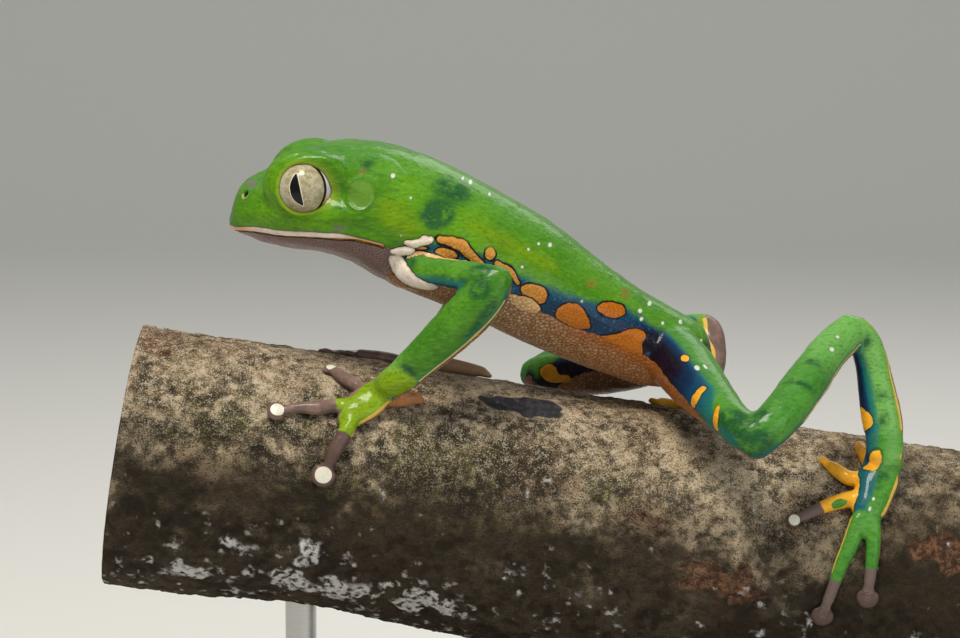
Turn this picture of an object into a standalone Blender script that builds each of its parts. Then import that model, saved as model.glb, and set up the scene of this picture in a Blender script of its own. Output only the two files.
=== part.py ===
"""Bahia monkey frog, life size, walking down a cut length of branch on a plain display stand.

Shapes are made in millimetres and scaled to metres at the end. +X runs from the snout to the
vent, -Y is the frog's left side, +Z is up, and the origin is at the centre of the base's underside.
"""

import math
from dataclasses import dataclass

import bmesh
import bpy
import numpy as np
from mathutils import Matrix, Vector

MM = 0.001
GAP = 0.3  # what touching pieces keep between them
WELD = 0.004  # closer points of a cut are joined
SHARP_EDGE = math.radians(40.0)

# The stand and the branch
BASE_LENGTH = 132.0
BASE_WIDTH = 66.0
BASE_HEIGHT = 8.0
BASE_CORNER = 8.0
BASE_EDGE = 1.0
BRANCH_RADIUS = 20.6
BRANCH_LENGTH = 138.0
BRANCH_SLOPE = math.radians(8.92)  # it runs down towards the frog's tail end
BRANCH_HEIGHT = 52.7  # of its axis above the origin
ROD_RADIUS = 2.5
ROD_X = {"stand_rod_front": -40.0, "stand_rod_rear": 40.0}
SEAT_DEPTH = 1.2  # of the flat that each rod's top meets in the bark
SEAT_RADIUS = 4.5
UNDERSIDE_SWELLS = ((0.5, 13.0), (0.3, 9.0))  # height and run of the branch's unevenness below

# The frog
EYE_RADIUS = 4.7
EYE_CENTRE = Vector((-38.5, -9.4, 106.9))
EYE_FORWARD = math.radians(4.0)  # how far the lids open forward of straight sideways
EYE_RISE = 0.06  # and upward, as a slope
LID_RADII = (7.2, 5.7, 4.9)  # along the head, up, and out along the gaze
LID_SHIFT = (0.7, 0.0, 0.6)  # of the lids' centre from the eye's
LID_OPENING = 4.3
DISC_THICKNESS = 0.8
SOLE_SINK = 0.15  # how far a sole would pass into the bark, so that it is cut to a small flat
MOUTH_SLIT = 0.35
MOUTH_DEPTH = 0.8
LIP_REACH = (-0.8, 1.1)  # below and above the slit
LIP_THICKNESS = 0.35
NOSTRIL = Vector((-48.0, -3.6, 105.6))
NOSTRIL_OUTWARD = Vector((-0.4, -1.4, 0.1))
NOSTRIL_DEPTH = 0.9
NOSTRIL_RADIUS = 0.55
EARDRUM = (-29.5, 105.6)
EARDRUM_RADII = (2.1, 0.5, 2.7)

TRUNK_SIDES = 32
TRUNK_RINGS = 38


@dataclass(frozen=True)
class Section:
    """A cross-section of head or trunk: its centre, lean, half width, reach up and down, and form."""

    x: float
    z: float
    lean: float
    wide: float
    up: float
    down: float
    taper: float  # share by which the sides draw in towards the top
    square: float  # 2 is an ellipse, and more is flatter on top


NECK = (-23.6, 102.0, math.radians(8.0))  # x and z of the cut behind the head, and its lean
TRUNK = (
    Section(-50.6, 101.2, 0, 1.6, 1.3, 1.2, 0.10, 2.2),
    Section(-50.2, 101.6, 0, 3.6, 2.3, 2.2, 0.14, 2.3),
    Section(-49.4, 102.3, 0, 5.4, 3.6, 3.5, 0.20, 2.4),
    Section(-48.1, 102.9, 0, 7.0, 4.5, 4.6, 0.26, 2.5),
    Section(-46.4, 103.2, 0, 8.6, 5.2, 5.6, 0.30, 2.6),
    Section(-43.6, 103.6, 0, 10.6, 6.1, 6.7, 0.30, 2.7),
    Section(-40.2, 104.0, 0, 12.0, 7.3, 7.7, 0.26, 2.8),
    Section(-36.2, 104.3, 0, 12.9, 8.8, 8.5, 0.22, 2.8),
    Section(-31.6, 104.0, 2, 13.4, 9.7, 9.6, 0.20, 2.7),
    Section(-26.1, 102.2, 8, 13.2, 10.7, 10.4, 0.18, 2.5),
    Section(-19.0, 99.6, 17, 12.8, 10.5, 10.5, 0.16, 2.3),
    Section(-11.0, 95.8, 20, 12.5, 10.0, 10.0, 0.16, 2.2),
    Section(-3.0, 91.9, 22, 11.9, 9.2, 9.9, 0.18, 2.2),
    Section(5.0, 87.6, 25, 10.6, 7.5, 9.2, 0.20, 2.2),
    Section(12.2, 83.5, 25, 9.1, 6.6, 7.8, 0.18, 2.2),
    Section(18.6, 80.6, 22, 8.2, 6.0, 6.8, 0.14, 2.2),
    Section(22.6, 79.7, 16, 6.8, 4.7, 5.4, 0.10, 2.2),
    Section(24.9, 79.6, 10, 4.2, 2.9, 3.4, 0.05, 2.1),
    Section(25.7, 79.6, 10, 1.8, 1.2, 1.5, 0.05, 2.1),
)
MOUTH_LINE = (  # x and z of the slit, from in front of the snout to the corner of the jaw
    (-53.0, 99.7),
    (-46.7, 100.0),
    (-41.3, 99.8),
    (-33.4, 99.7),
    (-30.3, 99.6),
    (-26.9, 98.6),
    (-25.9, 98.1),
)

# Limb rows are x, y, z, half width across the side view, half depth towards the viewer
UPPER_ARM_LEFT = (
    (-23.0, -7.0, 94.0, 3.2, 3.0),
    (-20.6, -11.0, 93.9, 2.9, 2.8),
    (-16.8, -14.6, 94.0, 2.5, 2.4),
    (-12.5, -17.4, 93.8, 2.6, 2.4),
    (-8.6, -19.2, 93.0, 2.9, 2.5),
)
FOREARM_LEFT = (
    (-9.0, -19.4, 92.4, 3.0, 2.6),
    (-11.2, -19.2, 90.0, 3.5, 2.9),
    (-14.1, -18.6, 87.0, 3.55, 2.9),
    (-16.9, -17.9, 84.2, 3.3, 2.7),
    (-20.4, -16.8, 80.8, 2.9, 2.4),
    (-22.6, -15.9, 78.7, 2.7, 2.2),
    (-25.2, -14.9, 76.8, 2.5, 2.0),
)
UPPER_ARM_RIGHT = (
    (-23.5, 6.5, 93.6, 3.2, 3.0),
    (-20.6, 12.0, 92.2, 2.9, 2.8),
    (-15.4, 18.2, 90.6, 2.5, 2.5),
    (-9.8, 24.0, 89.8, 2.8, 2.6),
)
FOREARM_RIGHT = (
    (-9.9, 24.2, 89.4, 2.9, 2.7),
    (-11.6, 21.8, 87.0, 3.4, 3.0),
    (-14.2, 18.2, 83.6, 3.2, 2.8),
    (-16.8, 14.2, 80.6, 2.8, 2.4),
    (-19.6, 11.0, 77.8, 2.5, 2.0),
)
THIGH_LEFT = (
    (17.0, -2.0, 80.6, 5.0, 4.2),
    (20.0, -6.5, 79.4, 4.9, 4.6),
    (22.7, -13.0, 76.9, 4.5, 4.5),
    (25.2, -19.2, 74.7, 3.7, 3.9),
    (27.7, -24.6, 72.7, 3.0, 3.3),
    (30.2, -28.8, 71.1, 3.1, 3.0),
)
SHANK_LEFT = (
    (30.9, -29.2, 70.7, 3.2, 3.0),
    (33.1, -28.3, 72.3, 3.2, 3.3),
    (35.5, -26.2, 74.3, 3.25, 3.6),
    (37.6, -23.6, 76.4, 3.35, 3.6),
    (39.9, -20.8, 78.8, 3.25, 3.3),
    (42.0, -18.0, 81.0, 3.1, 3.0),
    (44.3, -15.0, 82.9, 3.0, 2.7),
    (47.0, -12.4, 84.7, 2.8, 2.5),
)
TARSUS_LEFT = (
    (47.7, -11.8, 84.7, 2.5, 2.4),
    (49.1, -11.2, 83.2, 2.5, 2.4),
    (50.3, -11.2, 80.2, 2.6, 2.2),
    (51.1, -11.6, 76.4, 2.85, 2.1),
    (51.9, -12.4, 72.0, 3.15, 2.1),
    (52.4, -13.4, 68.4, 3.1, 2.1),
    (52.5, -14.4, 65.6, 3.1, 1.9),
)
THIGH_RIGHT = (
    (18.5, 2.5, 79.6, 4.6, 4.2),
    (15.6, 8.0, 77.4, 4.5, 4.4),
    (10.4, 13.4, 75.0, 4.2, 4.2),
    (4.4, 17.8, 73.4, 3.7, 3.7),
    (-0.8, 20.8, 72.7, 3.1, 3.1),
)
SHANK_RIGHT = (
    (-1.3, 21.2, 72.7, 3.0, 3.1),
    (1.6, 23.0, 73.6, 3.2, 3.4),
    (8.0, 24.0, 75.4, 3.4, 3.5),
    (14.0, 23.2, 77.2, 3.2, 3.2),
    (20.5, 21.2, 79.2, 2.9, 2.8),
    (25.8, 18.8, 80.8, 2.6, 2.6),
)
TARSUS_RIGHT = (
    (26.2, 18.4, 80.9, 2.5, 2.5),
    (26.6, 17.0, 80.0, 2.6, 2.4),
    (26.6, 14.6, 77.4, 2.9, 2.2),
    (26.0, 11.6, 74.4, 3.1, 2.1),
    (25.4, 9.2, 72.2, 3.1, 1.9),
)

# Hand and foot rows lie on the branch: distance along it, angle round it in degrees from its
# top towards the frog's left, half width, half thickness, and how far the sole is lifted.
HAND_LEFT = (
    (-27.6, 31.5, 2.5, 1.9, 0.9),
    (-29.6, 35.5, 2.7, 1.8, 0.3),
    (-31.6, 41.5, 2.9, 1.6, 0.0),
    (-33.2, 47.0, 2.6, 1.4, 0.0),
    (-34.0, 51.5, 1.9, 1.2, 0.0),
)
FINGERS_LEFT = (
    ((-30.2, 37.5, 1.6, 1.4, 0.1), (-26.8, 36.5, 1.35, 1.25, 0.1), (-23.8, 33.5, 1.1, 1.0, 0.0)),
    (
        (-31.4, 36.0, 1.3, 1.2, 0.1),
        (-34.2, 31.4, 1.05, 1.05, 0.1),
        (-36.0, 27.6, 1.05, 1.0, 0.1),
        (-38.0, 22.0, 0.9, 0.85, 0.0),
    ),
    (
        (-33.0, 44.0, 1.4, 1.3, 0.1),
        (-36.5, 45.0, 1.1, 1.1, 0.1),
        (-39.0, 47.4, 1.2, 1.1, 0.1),
        (-42.2, 48.6, 0.85, 0.85, 0.1),
        (-45.2, 51.4, 0.8, 0.8, 0.0),
    ),
    (
        (-33.6, 51.0, 1.5, 1.3, 0.1),
        (-34.4, 59.0, 1.25, 1.15, 0.1),
        (-35.2, 64.4, 1.2, 1.1, 0.1),
        (-35.8, 70.2, 0.95, 0.9, 0.1),
        (-36.5, 76.0, 0.9, 0.8, 0.0),
    ),
)
HAND_RIGHT = (
    (-22.4, -25.0, 2.4, 1.9, 1.4),
    (-24.4, -26.0, 2.7, 1.7, 0.3),
    (-26.6, -28.0, 2.8, 1.5, 0.0),
    (-28.4, -31.0, 1.9, 1.2, 0.0),
)
FINGERS_RIGHT = (
    (
        (-23.2, -24.0, 1.6, 1.4, 0.1),
        (-19.6, -17.0, 1.5, 1.3, 0.1),
        (-16.4, -12.5, 1.2, 1.1, 0.1),
        (-13.6, -8.5, 1.05, 0.95, 0.0),
    ),
    ((-26.2, -24.0, 1.3, 1.2, 0.1), (-30.6, -18.5, 1.1, 1.05, 0.1), (-35.4, -14.5, 0.85, 0.85, 0.0)),
    (
        (-27.8, -28.5, 1.4, 1.3, 0.1),
        (-32.0, -27.0, 1.15, 1.1, 0.1),
        (-36.0, -25.0, 0.95, 0.95, 0.1),
        (-39.4, -22.4, 0.85, 0.8, 0.0),
    ),
    (
        (-27.6, -32.0, 1.4, 1.3, 0.1),
        (-29.6, -42.0, 1.2, 1.15, 0.1),
        (-31.4, -52.0, 1.1, 1.05, 0.1),
        (-33.0, -62.0, 0.9, 0.8, 0.0),
    ),
)
FOOT_LEFT = (
    (50.2, 31.5, 3.1, 1.9, 1.2),
    (49.8, 36.5, 3.2, 1.9, 0.7),
    (49.2, 43.5, 3.3, 1.8, 0.2),
    (48.7, 50.5, 3.0, 1.7, 0.0),
    (48.1, 58.0, 2.5, 1.5, 0.0),
    (47.8, 63.5, 1.8, 1.2, 0.0),
)
TOES_LEFT = (
    ((48.6, 34.0, 1.3, 1.2, 0.1), (47.2, 24.0, 1.1, 1.05, 0.1), (46.6, 15.5, 0.9, 0.85, 0.0)),
    (
        (48.0, 41.0, 1.4, 1.2, 0.1),
        (44.6, 41.2, 1.15, 1.1, 0.1),
        (42.8, 37.6, 1.0, 0.95, 0.1),
        (41.0, 33.6, 0.8, 0.75, 0.0),
    ),
    (
        (47.6, 50.0, 1.5, 1.3, 0.1),
        (44.6, 52.4, 1.2, 1.1, 0.1),
        (41.8, 56.0, 1.0, 1.0, 0.1),
        (39.2, 60.4, 0.85, 0.85, 0.1),
        (36.9, 64.6, 0.75, 0.75, 0.0),
    ),
    (
        (47.0, 60.0, 1.5, 1.4, 0.1),
        (46.0, 71.0, 1.35, 1.25, 0.1),
        (45.0, 80.5, 1.15, 1.1, 0.1),
        (44.3, 91.0, 0.9, 0.9, 0.1),
        (43.6, 103.0, 0.9, 0.8, 0.0),
    ),
    (
        (49.0, 60.0, 1.4, 1.3, 0.1),
        (49.6, 70.0, 1.15, 1.1, 0.1),
        (49.8, 81.5, 0.95, 0.95, 0.1),
        (50.0, 92.0, 0.9, 0.8, 0.0),
    ),
)
FOOT_SHIFT = (-26.6, 15.0)  # the right foot mirrors the left one, moved along and up round the branch
DISC_RADII = {
    "finger": (1.3, 1.35, 1.65, 2.0),
    "toe": (1.0, 1.0, 1.2, 1.8, 1.8),
}


def branch_frame():
    """The branch's axis point at x = 0, its direction, and its upward normal."""
    along = Vector((math.cos(BRANCH_SLOPE), 0.0, -math.sin(BRANCH_SLOPE)))
    upward = Vector((math.sin(BRANCH_SLOPE), 0.0, math.cos(BRANCH_SLOPE)))
    return Vector((0.0, 0.0, BRANCH_HEIGHT)), along, upward


def on_branch(along, angle, height):
    """The point at this distance along the branch, angle round it and height over its bark."""
    centre, axis, upward = branch_frame()
    turn = math.radians(angle)
    outward = upward * math.cos(turn) + Vector((0.0, -1.0, 0.0)) * math.sin(turn)
    return centre + axis * along + outward * (BRANCH_RADIUS + height)


def away_from_branch(point):
    """The direction straight out of the branch at a point."""
    centre, axis, _ = branch_frame()
    offset = Vector(point) - centre
    return (offset - axis * offset.dot(axis)).normalized()


def across_view(_point):
    """The reference direction of a limb's depth: sideways out of the frog."""
    return Vector((0.0, 1.0, 0.0))


def smooth_rows(rows, count):
    """Rows read at count even steps from a cubic curve through the given ones."""
    rows = np.array(rows, float)
    steps = np.linalg.norm(np.diff(rows[:, :3], axis=0), axis=1)
    at = np.concatenate([[0.0], np.cumsum(steps)])
    secant = np.diff(rows, axis=0) / steps[:, None]
    slope = np.empty_like(rows)
    slope[0], slope[-1] = secant[0], secant[-1]
    before, after = steps[:-1, None], steps[1:, None]
    slope[1:-1] = (secant[:-1] * after + secant[1:] * before) / (before + after)
    wanted = np.linspace(0.0, at[-1], count)
    span = np.clip(np.searchsorted(at, wanted, side="right") - 1, 0, len(steps) - 1)
    length = steps[span][:, None]
    t = ((wanted - at[span]) / steps[span])[:, None]
    return (
        (2 * t**3 - 3 * t**2 + 1) * rows[span]
        + (t**3 - 2 * t**2 + t) * length * slope[span]
        + (-2 * t**3 + 3 * t**2) * rows[span + 1]
        + (t**3 - t**2) * length * slope[span + 1]
    )


def object_of(name, mesh):
    """A new object in the scene that holds this mesh."""
    obj = bpy.data.objects.new(name, mesh)
    bpy.context.scene.collection.objects.link(obj)
    return obj


def closed_loft(name, rings, start, end):
    """A closed solid through rings of points, with a fan of faces to a point at each end."""
    bm = bmesh.new()
    loops = [[bm.verts.new(point) for point in ring] for ring in rings]
    for low, high in zip(loops, loops[1:]):
        for i in range(len(low)):
            j = (i + 1) % len(low)
            bm.faces.new((low[i], low[j], high[j], high[i]))
    for loop, tip in ((loops[0], bm.verts.new(start)), (loops[-1], bm.verts.new(end))):
        for i in range(len(loop)):
            bm.faces.new((loop[i], loop[(i + 1) % len(loop)], tip))
    bmesh.ops.recalc_face_normals(bm, faces=bm.faces)
    if bm.calc_volume(signed=True) < 0:
        bmesh.ops.reverse_faces(bm, faces=bm.faces)
    bmesh.ops.triangulate(bm, faces=bm.faces)
    mesh = bpy.data.meshes.new(name)
    bm.to_mesh(mesh)
    bm.free()
    return object_of(name, mesh)


def section_point(row, angle, grow):
    """A point on a trunk section, at an angle from the frog's right side over its back."""
    x, z, lean, wide, up, down, taper, square = row
    c, s = math.cos(angle), math.sin(angle)
    power = 2.0 / (square if s > 0 else 2.1)
    across = (wide + grow) * math.copysign(abs(c) ** power, c)
    rise = ((up if s > 0 else down) + grow) * math.copysign(abs(s) ** power, s)
    if s > 0:
        across *= 1.0 - taper * rise / (up + grow)
    tilt = math.radians(lean)
    return Vector((x + rise * math.sin(tilt), across, z + rise * math.cos(tilt)))


def trunk_rows(count):
    """Trunk sections as plain rows, read from a smooth curve through the named ones."""
    rows = [(s.x, 0.0, s.z, s.lean, s.wide, s.up, s.down, s.taper, s.square) for s in TRUNK]
    return np.delete(smooth_rows(rows, count), 1, axis=1)


def trunk(name, grow=0.0):
    """Head and trunk in one closed solid, grown outwards by some millimetres."""
    rows = trunk_rows(TRUNK_RINGS)
    rings = [
        [section_point(row, 2 * math.pi * i / TRUNK_SIDES, grow) for i in range(TRUNK_SIDES)]
        for row in rows
    ]
    first, last = TRUNK[0], TRUNK[-1]
    start = (first.x - 0.3 - grow, 0.0, first.z)
    end = (last.x + 0.3 + grow, 0.0, last.z)
    return closed_loft(name, rings, start, end)


def flank_y(x, z):
    """How far out the frog's side reaches at a place in the side view."""
    rows = trunk_rows(4 * TRUNK_RINGS)
    row = rows[np.argmin(abs(rows[:, 0] - x))]
    angles = np.linspace(0.0, math.pi / 2, 200)
    return min((section_point(row, a, 0.0) for a in angles), key=lambda p: abs(p.z - z)).y


def tube(name, rows, reference, sides=12, rings=11, grow=0.0, caps=3):
    """A limb: a closed tube along rows of place, half width and half depth, with rounded ends."""
    rows = smooth_rows(rows, rings)
    rows[:, 3:5] += grow
    places = [Vector(row[:3]) for row in rows]
    ahead = [(places[min(i + 1, rings - 1)] - places[max(i - 1, 0)]).normalized() for i in range(rings)]
    loops = []

    def ring_at(place, direction, row, share):
        outward = reference(place)
        deep = (outward - direction * outward.dot(direction)).normalized()
        wide = direction.cross(deep)
        return [
            place
            + wide * (row[3] * share * math.cos(2 * math.pi * i / sides))
            + deep * (row[4] * share * math.sin(2 * math.pi * i / sides))
            for i in range(sides)
        ]

    turns = [math.pi / 2 * k / caps for k in range(1, caps)]
    reach = [float(rows[i, 3:5].mean()) for i in (0, -1)]
    for turn in reversed(turns):
        place = places[0] - ahead[0] * (reach[0] * math.sin(turn))
        loops.append(ring_at(place, ahead[0], rows[0], math.cos(turn)))
    for place, direction, row in zip(places, ahead, rows):
        loops.append(ring_at(place, direction, row, 1.0))
    for turn in turns:
        place = places[-1] + ahead[-1] * (reach[1] * math.sin(turn))
        loops.append(ring_at(place, ahead[-1], rows[-1], math.cos(turn)))
    start = places[0] - ahead[0] * reach[0]
    end = places[-1] + ahead[-1] * reach[1]
    return closed_loft(name, loops, start, end)


def ellipsoid(name, centre, radii, segments=20, rings=12, up=None):
    """A ball of three radii, with its poles along up, or along Z where up is left out."""
    mesh = bpy.data.meshes.new(name)
    bm = bmesh.new()
    bmesh.ops.create_uvsphere(bm, u_segments=segments, v_segments=rings, radius=1.0)
    turn = Vector((0, 0, 1)).rotation_difference(Vector(up)).to_matrix().to_4x4() if up else Matrix()
    bmesh.ops.transform(
        bm, verts=bm.verts, matrix=Matrix.Translation(centre) @ turn @ Matrix.Diagonal((*radii, 1.0))
    )
    bm.to_mesh(mesh)
    bm.free()
    return object_of(name, mesh)


def cylinder(name, start, end, radius, segments=20):
    """A closed round bar from one point to another."""
    start, end = Vector(start), Vector(end)
    mesh = bpy.data.meshes.new(name)
    bm = bmesh.new()
    bmesh.ops.create_cone(
        bm, cap_ends=True, segments=segments, radius1=radius, radius2=radius, depth=(end - start).length
    )
    turn = Vector((0, 0, 1)).rotation_difference(end - start).to_matrix().to_4x4()
    bmesh.ops.transform(bm, verts=bm.verts, matrix=Matrix.Translation((start + end) / 2) @ turn)
    bm.to_mesh(mesh)
    bm.free()
    return object_of(name, mesh)


def boolean(obj, operation, *tools, keep_tools=False):
    """Applies one Boolean of obj with each tool in turn, and keeps the largest closed surface."""
    for tool in tools:
        modifier = obj.modifiers.new("combine", "BOOLEAN")
        modifier.operation = operation
        modifier.object = tool
        graph = bpy.context.evaluated_depsgraph_get()
        mesh = bpy.data.meshes.new_from_object(obj.evaluated_get(graph))
        obj.modifiers.clear()
        obj.data = mesh
        triangulate(obj)
    if not keep_tools:
        for tool in tools:
            bpy.data.objects.remove(tool)
    return keep_largest(obj)


def triangulate(obj):
    """Splits a mesh into triangles and joins points that are closer than WELD."""
    bm = bmesh.new()
    bm.from_mesh(obj.data)
    bmesh.ops.triangulate(bm, faces=bm.faces)
    bmesh.ops.dissolve_degenerate(bm, edges=bm.edges, dist=WELD)
    bmesh.ops.triangulate(bm, faces=bm.faces)
    bm.to_mesh(obj.data)
    bm.free()


def keep_largest(obj):
    """Drops every closed surface of a mesh but the one with the largest area."""
    bm = bmesh.new()
    bm.from_mesh(obj.data)
    left, groups = set(bm.faces), []
    while left:
        stack, group = [left.pop()], []
        while stack:
            face = stack.pop()
            group.append(face)
            for edge in face.edges:
                for other in edge.link_faces:
                    if other in left:
                        left.remove(other)
                        stack.append(other)
        groups.append(group)
    groups.sort(key=lambda group: sum(face.calc_area() for face in group))
    loose = [face for group in groups[:-1] for face in group]
    bmesh.ops.delete(bm, geom=loose, context="FACES")
    bm.to_mesh(obj.data)
    bm.free()
    return obj


def trim(obj, place, normal):
    """Cuts off what lies on the side of a plane that its normal points to, and closes the cut."""
    bm = bmesh.new()
    bm.from_mesh(obj.data)
    geometry = bm.verts[:] + bm.edges[:] + bm.faces[:]
    cut = bmesh.ops.bisect_plane(bm, geom=geometry, plane_co=place, plane_no=normal, clear_outer=True)
    edges = [e for e in cut["geom_cut"] if isinstance(e, bmesh.types.BMEdge)]
    bmesh.ops.holes_fill(bm, edges=edges, sides=0)
    bmesh.ops.recalc_face_normals(bm, faces=bm.faces)
    if bm.calc_volume(signed=True) < 0:
        bmesh.ops.reverse_faces(bm, faces=bm.faces)
    bm.to_mesh(obj.data)
    bm.free()
    triangulate(obj)
    return keep_largest(obj)


def part_at_joint(near, near_rows, far, far_rows):
    """Parts two limb pieces at the plane that halves their bend, with the gap between them."""
    joint = Vector(near_rows[-1][:3]).lerp(Vector(far_rows[0][:3]), 0.5)
    coming = (joint - Vector(near_rows[-3][:3])).normalized()
    going = (Vector(far_rows[2][:3]) - joint).normalized()
    normal = (coming + going).normalized()
    trim(near, joint - normal * (GAP / 2), normal)
    trim(far, joint + normal * (GAP / 2), -normal)


def on_bark(rows):
    """Hand or foot rows turned into tube rows that rest on the branch."""
    made = []
    for along, angle, wide, thick, lift in rows:
        place = on_branch(along, angle, thick + lift - SOLE_SINK)
        made.append((*place, wide, thick))
    return made


def mirrored_foot(rows):
    """Rows of the left foot, moved to the far side of the branch."""
    shift, turn = FOOT_SHIFT
    return tuple((along + shift, turn - angle, *rest) for along, angle, *rest in rows)


def digit(name, rows, disc_radius, palm_grown, bark_grown):
    """A finger or toe with its round end disc, clear of the palm or sole and of the bark."""
    along, angle, *_ = rows[-1]
    rows = on_bark(rows)
    body = tube(name, rows, away_from_branch, sides=8, rings=6, caps=2)
    centre = on_branch(along, angle, DISC_THICKNESS - SOLE_SINK)
    disc = ellipsoid(
        "disc",
        centre,
        (disc_radius, disc_radius, DISC_THICKNESS),
        segments=10,
        rings=5,
        up=away_from_branch(centre),
    )
    boolean(body, "UNION", disc)
    boolean(body, "DIFFERENCE", palm_grown, bark_grown, keep_tools=True)
    return body


def limb_end(kind, side, rows, digits, bark_grown):
    """A palm or sole and its digits, all resting on the bark."""
    palm_rows = on_bark(rows)
    palm = tube(f"{kind}_{side}", palm_rows, away_from_branch, sides=12, rings=8)
    boolean(palm, "DIFFERENCE", bark_grown, keep_tools=True)
    grown = tube("grown", palm_rows, away_from_branch, sides=12, rings=8, grow=GAP)
    word = "finger" if kind == "hand" else "toe"
    for number, digit_rows in enumerate(digits, start=1):
        name = f"{word}_{number}_{side}"
        digit(name, digit_rows, DISC_RADII[word][number - 1], grown, bark_grown)
    bpy.data.objects.remove(grown)
    return palm, palm_rows


def limb(side, names, rows, end, trunk_grown):
    """The pieces of one leg or arm from the body to its hand or foot, parted at each joint."""
    end_piece, end_rows = end
    pieces = [tube(f"{name}_{side}", part, across_view) for name, part in zip(names, rows)]
    boolean(pieces[0], "DIFFERENCE", trunk_grown, keep_tools=True)
    for i in range(len(pieces) - 1):
        part_at_joint(pieces[i], rows[i], pieces[i + 1], rows[i + 1])
    part_at_joint(pieces[-1], rows[-1], end_piece, end_rows)
    return pieces


def head_details(head):
    """Adds the lids, eyes and eardrums to the head, and cuts the mouth line and the nostrils."""
    lips = mouth_band("lips", *LIP_REACH)
    boolean(lips, "INTERSECT", trunk("outer", grow=LIP_THICKNESS))
    boolean(head, "UNION", lips)
    slit = mouth_band("slit", -MOUTH_SLIT / 2, MOUTH_SLIT / 2)
    boolean(slit, "DIFFERENCE", trunk("inner", grow=-MOUTH_DEPTH))
    cutters = [slit]
    for side, sign in (("left", 1.0), ("right", -1.0)):
        eye = Vector((EYE_CENTRE.x, sign * EYE_CENTRE.y, EYE_CENTRE.z))
        gaze = Vector((-math.sin(EYE_FORWARD), -sign * math.cos(EYE_FORWARD), EYE_RISE)).normalized()
        lid = ellipsoid("lid", eye + Vector(LID_SHIFT), LID_RADII, up=gaze)
        drum_y = sign * -flank_y(EARDRUM[0], EARDRUM[1])
        drum = ellipsoid("drum", (EARDRUM[0], drum_y, EARDRUM[1]), EARDRUM_RADII, 12, 6)
        boolean(head, "UNION", lid, drum)
        cutters.append(ellipsoid("socket", eye, (EYE_RADIUS + GAP,) * 3, up=gaze))
        cutters.append(cylinder("opening", eye + gaze * 1.5, eye + gaze * 2 * EYE_RADIUS, LID_OPENING))
        inner_end = NOSTRIL - NOSTRIL_OUTWARD.normalized() * NOSTRIL_DEPTH
        outer_end = NOSTRIL + NOSTRIL_OUTWARD * 2
        inner_end.y *= sign
        outer_end.y *= sign
        cutters.append(cylinder("nostril", inner_end, outer_end, NOSTRIL_RADIUS, 10))
        ellipsoid(f"eye_{side}", eye, (EYE_RADIUS,) * 3, up=gaze)
    boolean(head, "DIFFERENCE", *cutters)


def mouth_band(name, low_edge, high_edge):
    """A level plate that follows the line of the mouth between two heights, wider than the head."""
    half_width = 20.0
    bm = bmesh.new()
    loops = []
    for x, z in MOUTH_LINE:
        corners = (
            (-half_width, low_edge),
            (half_width, low_edge),
            (half_width, high_edge),
            (-half_width, high_edge),
        )
        loops.append([bm.verts.new((x, y, z + edge)) for y, edge in corners])
    for low, high in zip(loops, loops[1:]):
        for i in range(4):
            j = (i + 1) % 4
            bm.faces.new((low[i], low[j], high[j], high[i]))
    bm.faces.new(loops[0])
    bm.faces.new(reversed(loops[-1]))
    bmesh.ops.recalc_face_normals(bm, faces=bm.faces)
    mesh = bpy.data.meshes.new(name)
    bm.to_mesh(mesh)
    bm.free()
    return object_of(name, mesh)


def branch(name, grow=0.0, rounds=32, rings=14):
    """A cut length of branch: a round bar that is true where the frog holds it and uneven below."""
    (low, long_run), (high, short_run) = UNDERSIDE_SWELLS
    loops = []
    for k in range(rings):
        along = (BRANCH_LENGTH + 2 * grow) * (k / (rings - 1) - 0.5)
        loop = []
        for i in range(rounds):
            angle = 360.0 * i / rounds
            turn = math.radians(angle)
            under = max(0.0, -math.cos(turn))
            swell = low * math.sin(along / long_run + 1.0) + high * math.sin(along / short_run + 3 * turn)
            loop.append(on_branch(along, angle, grow + under * swell))
        loops.append(loop)
    centre, axis, _ = branch_frame()
    half = BRANCH_LENGTH / 2 + grow
    return closed_loft(name, loops, centre - axis * half, centre + axis * half)


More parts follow.
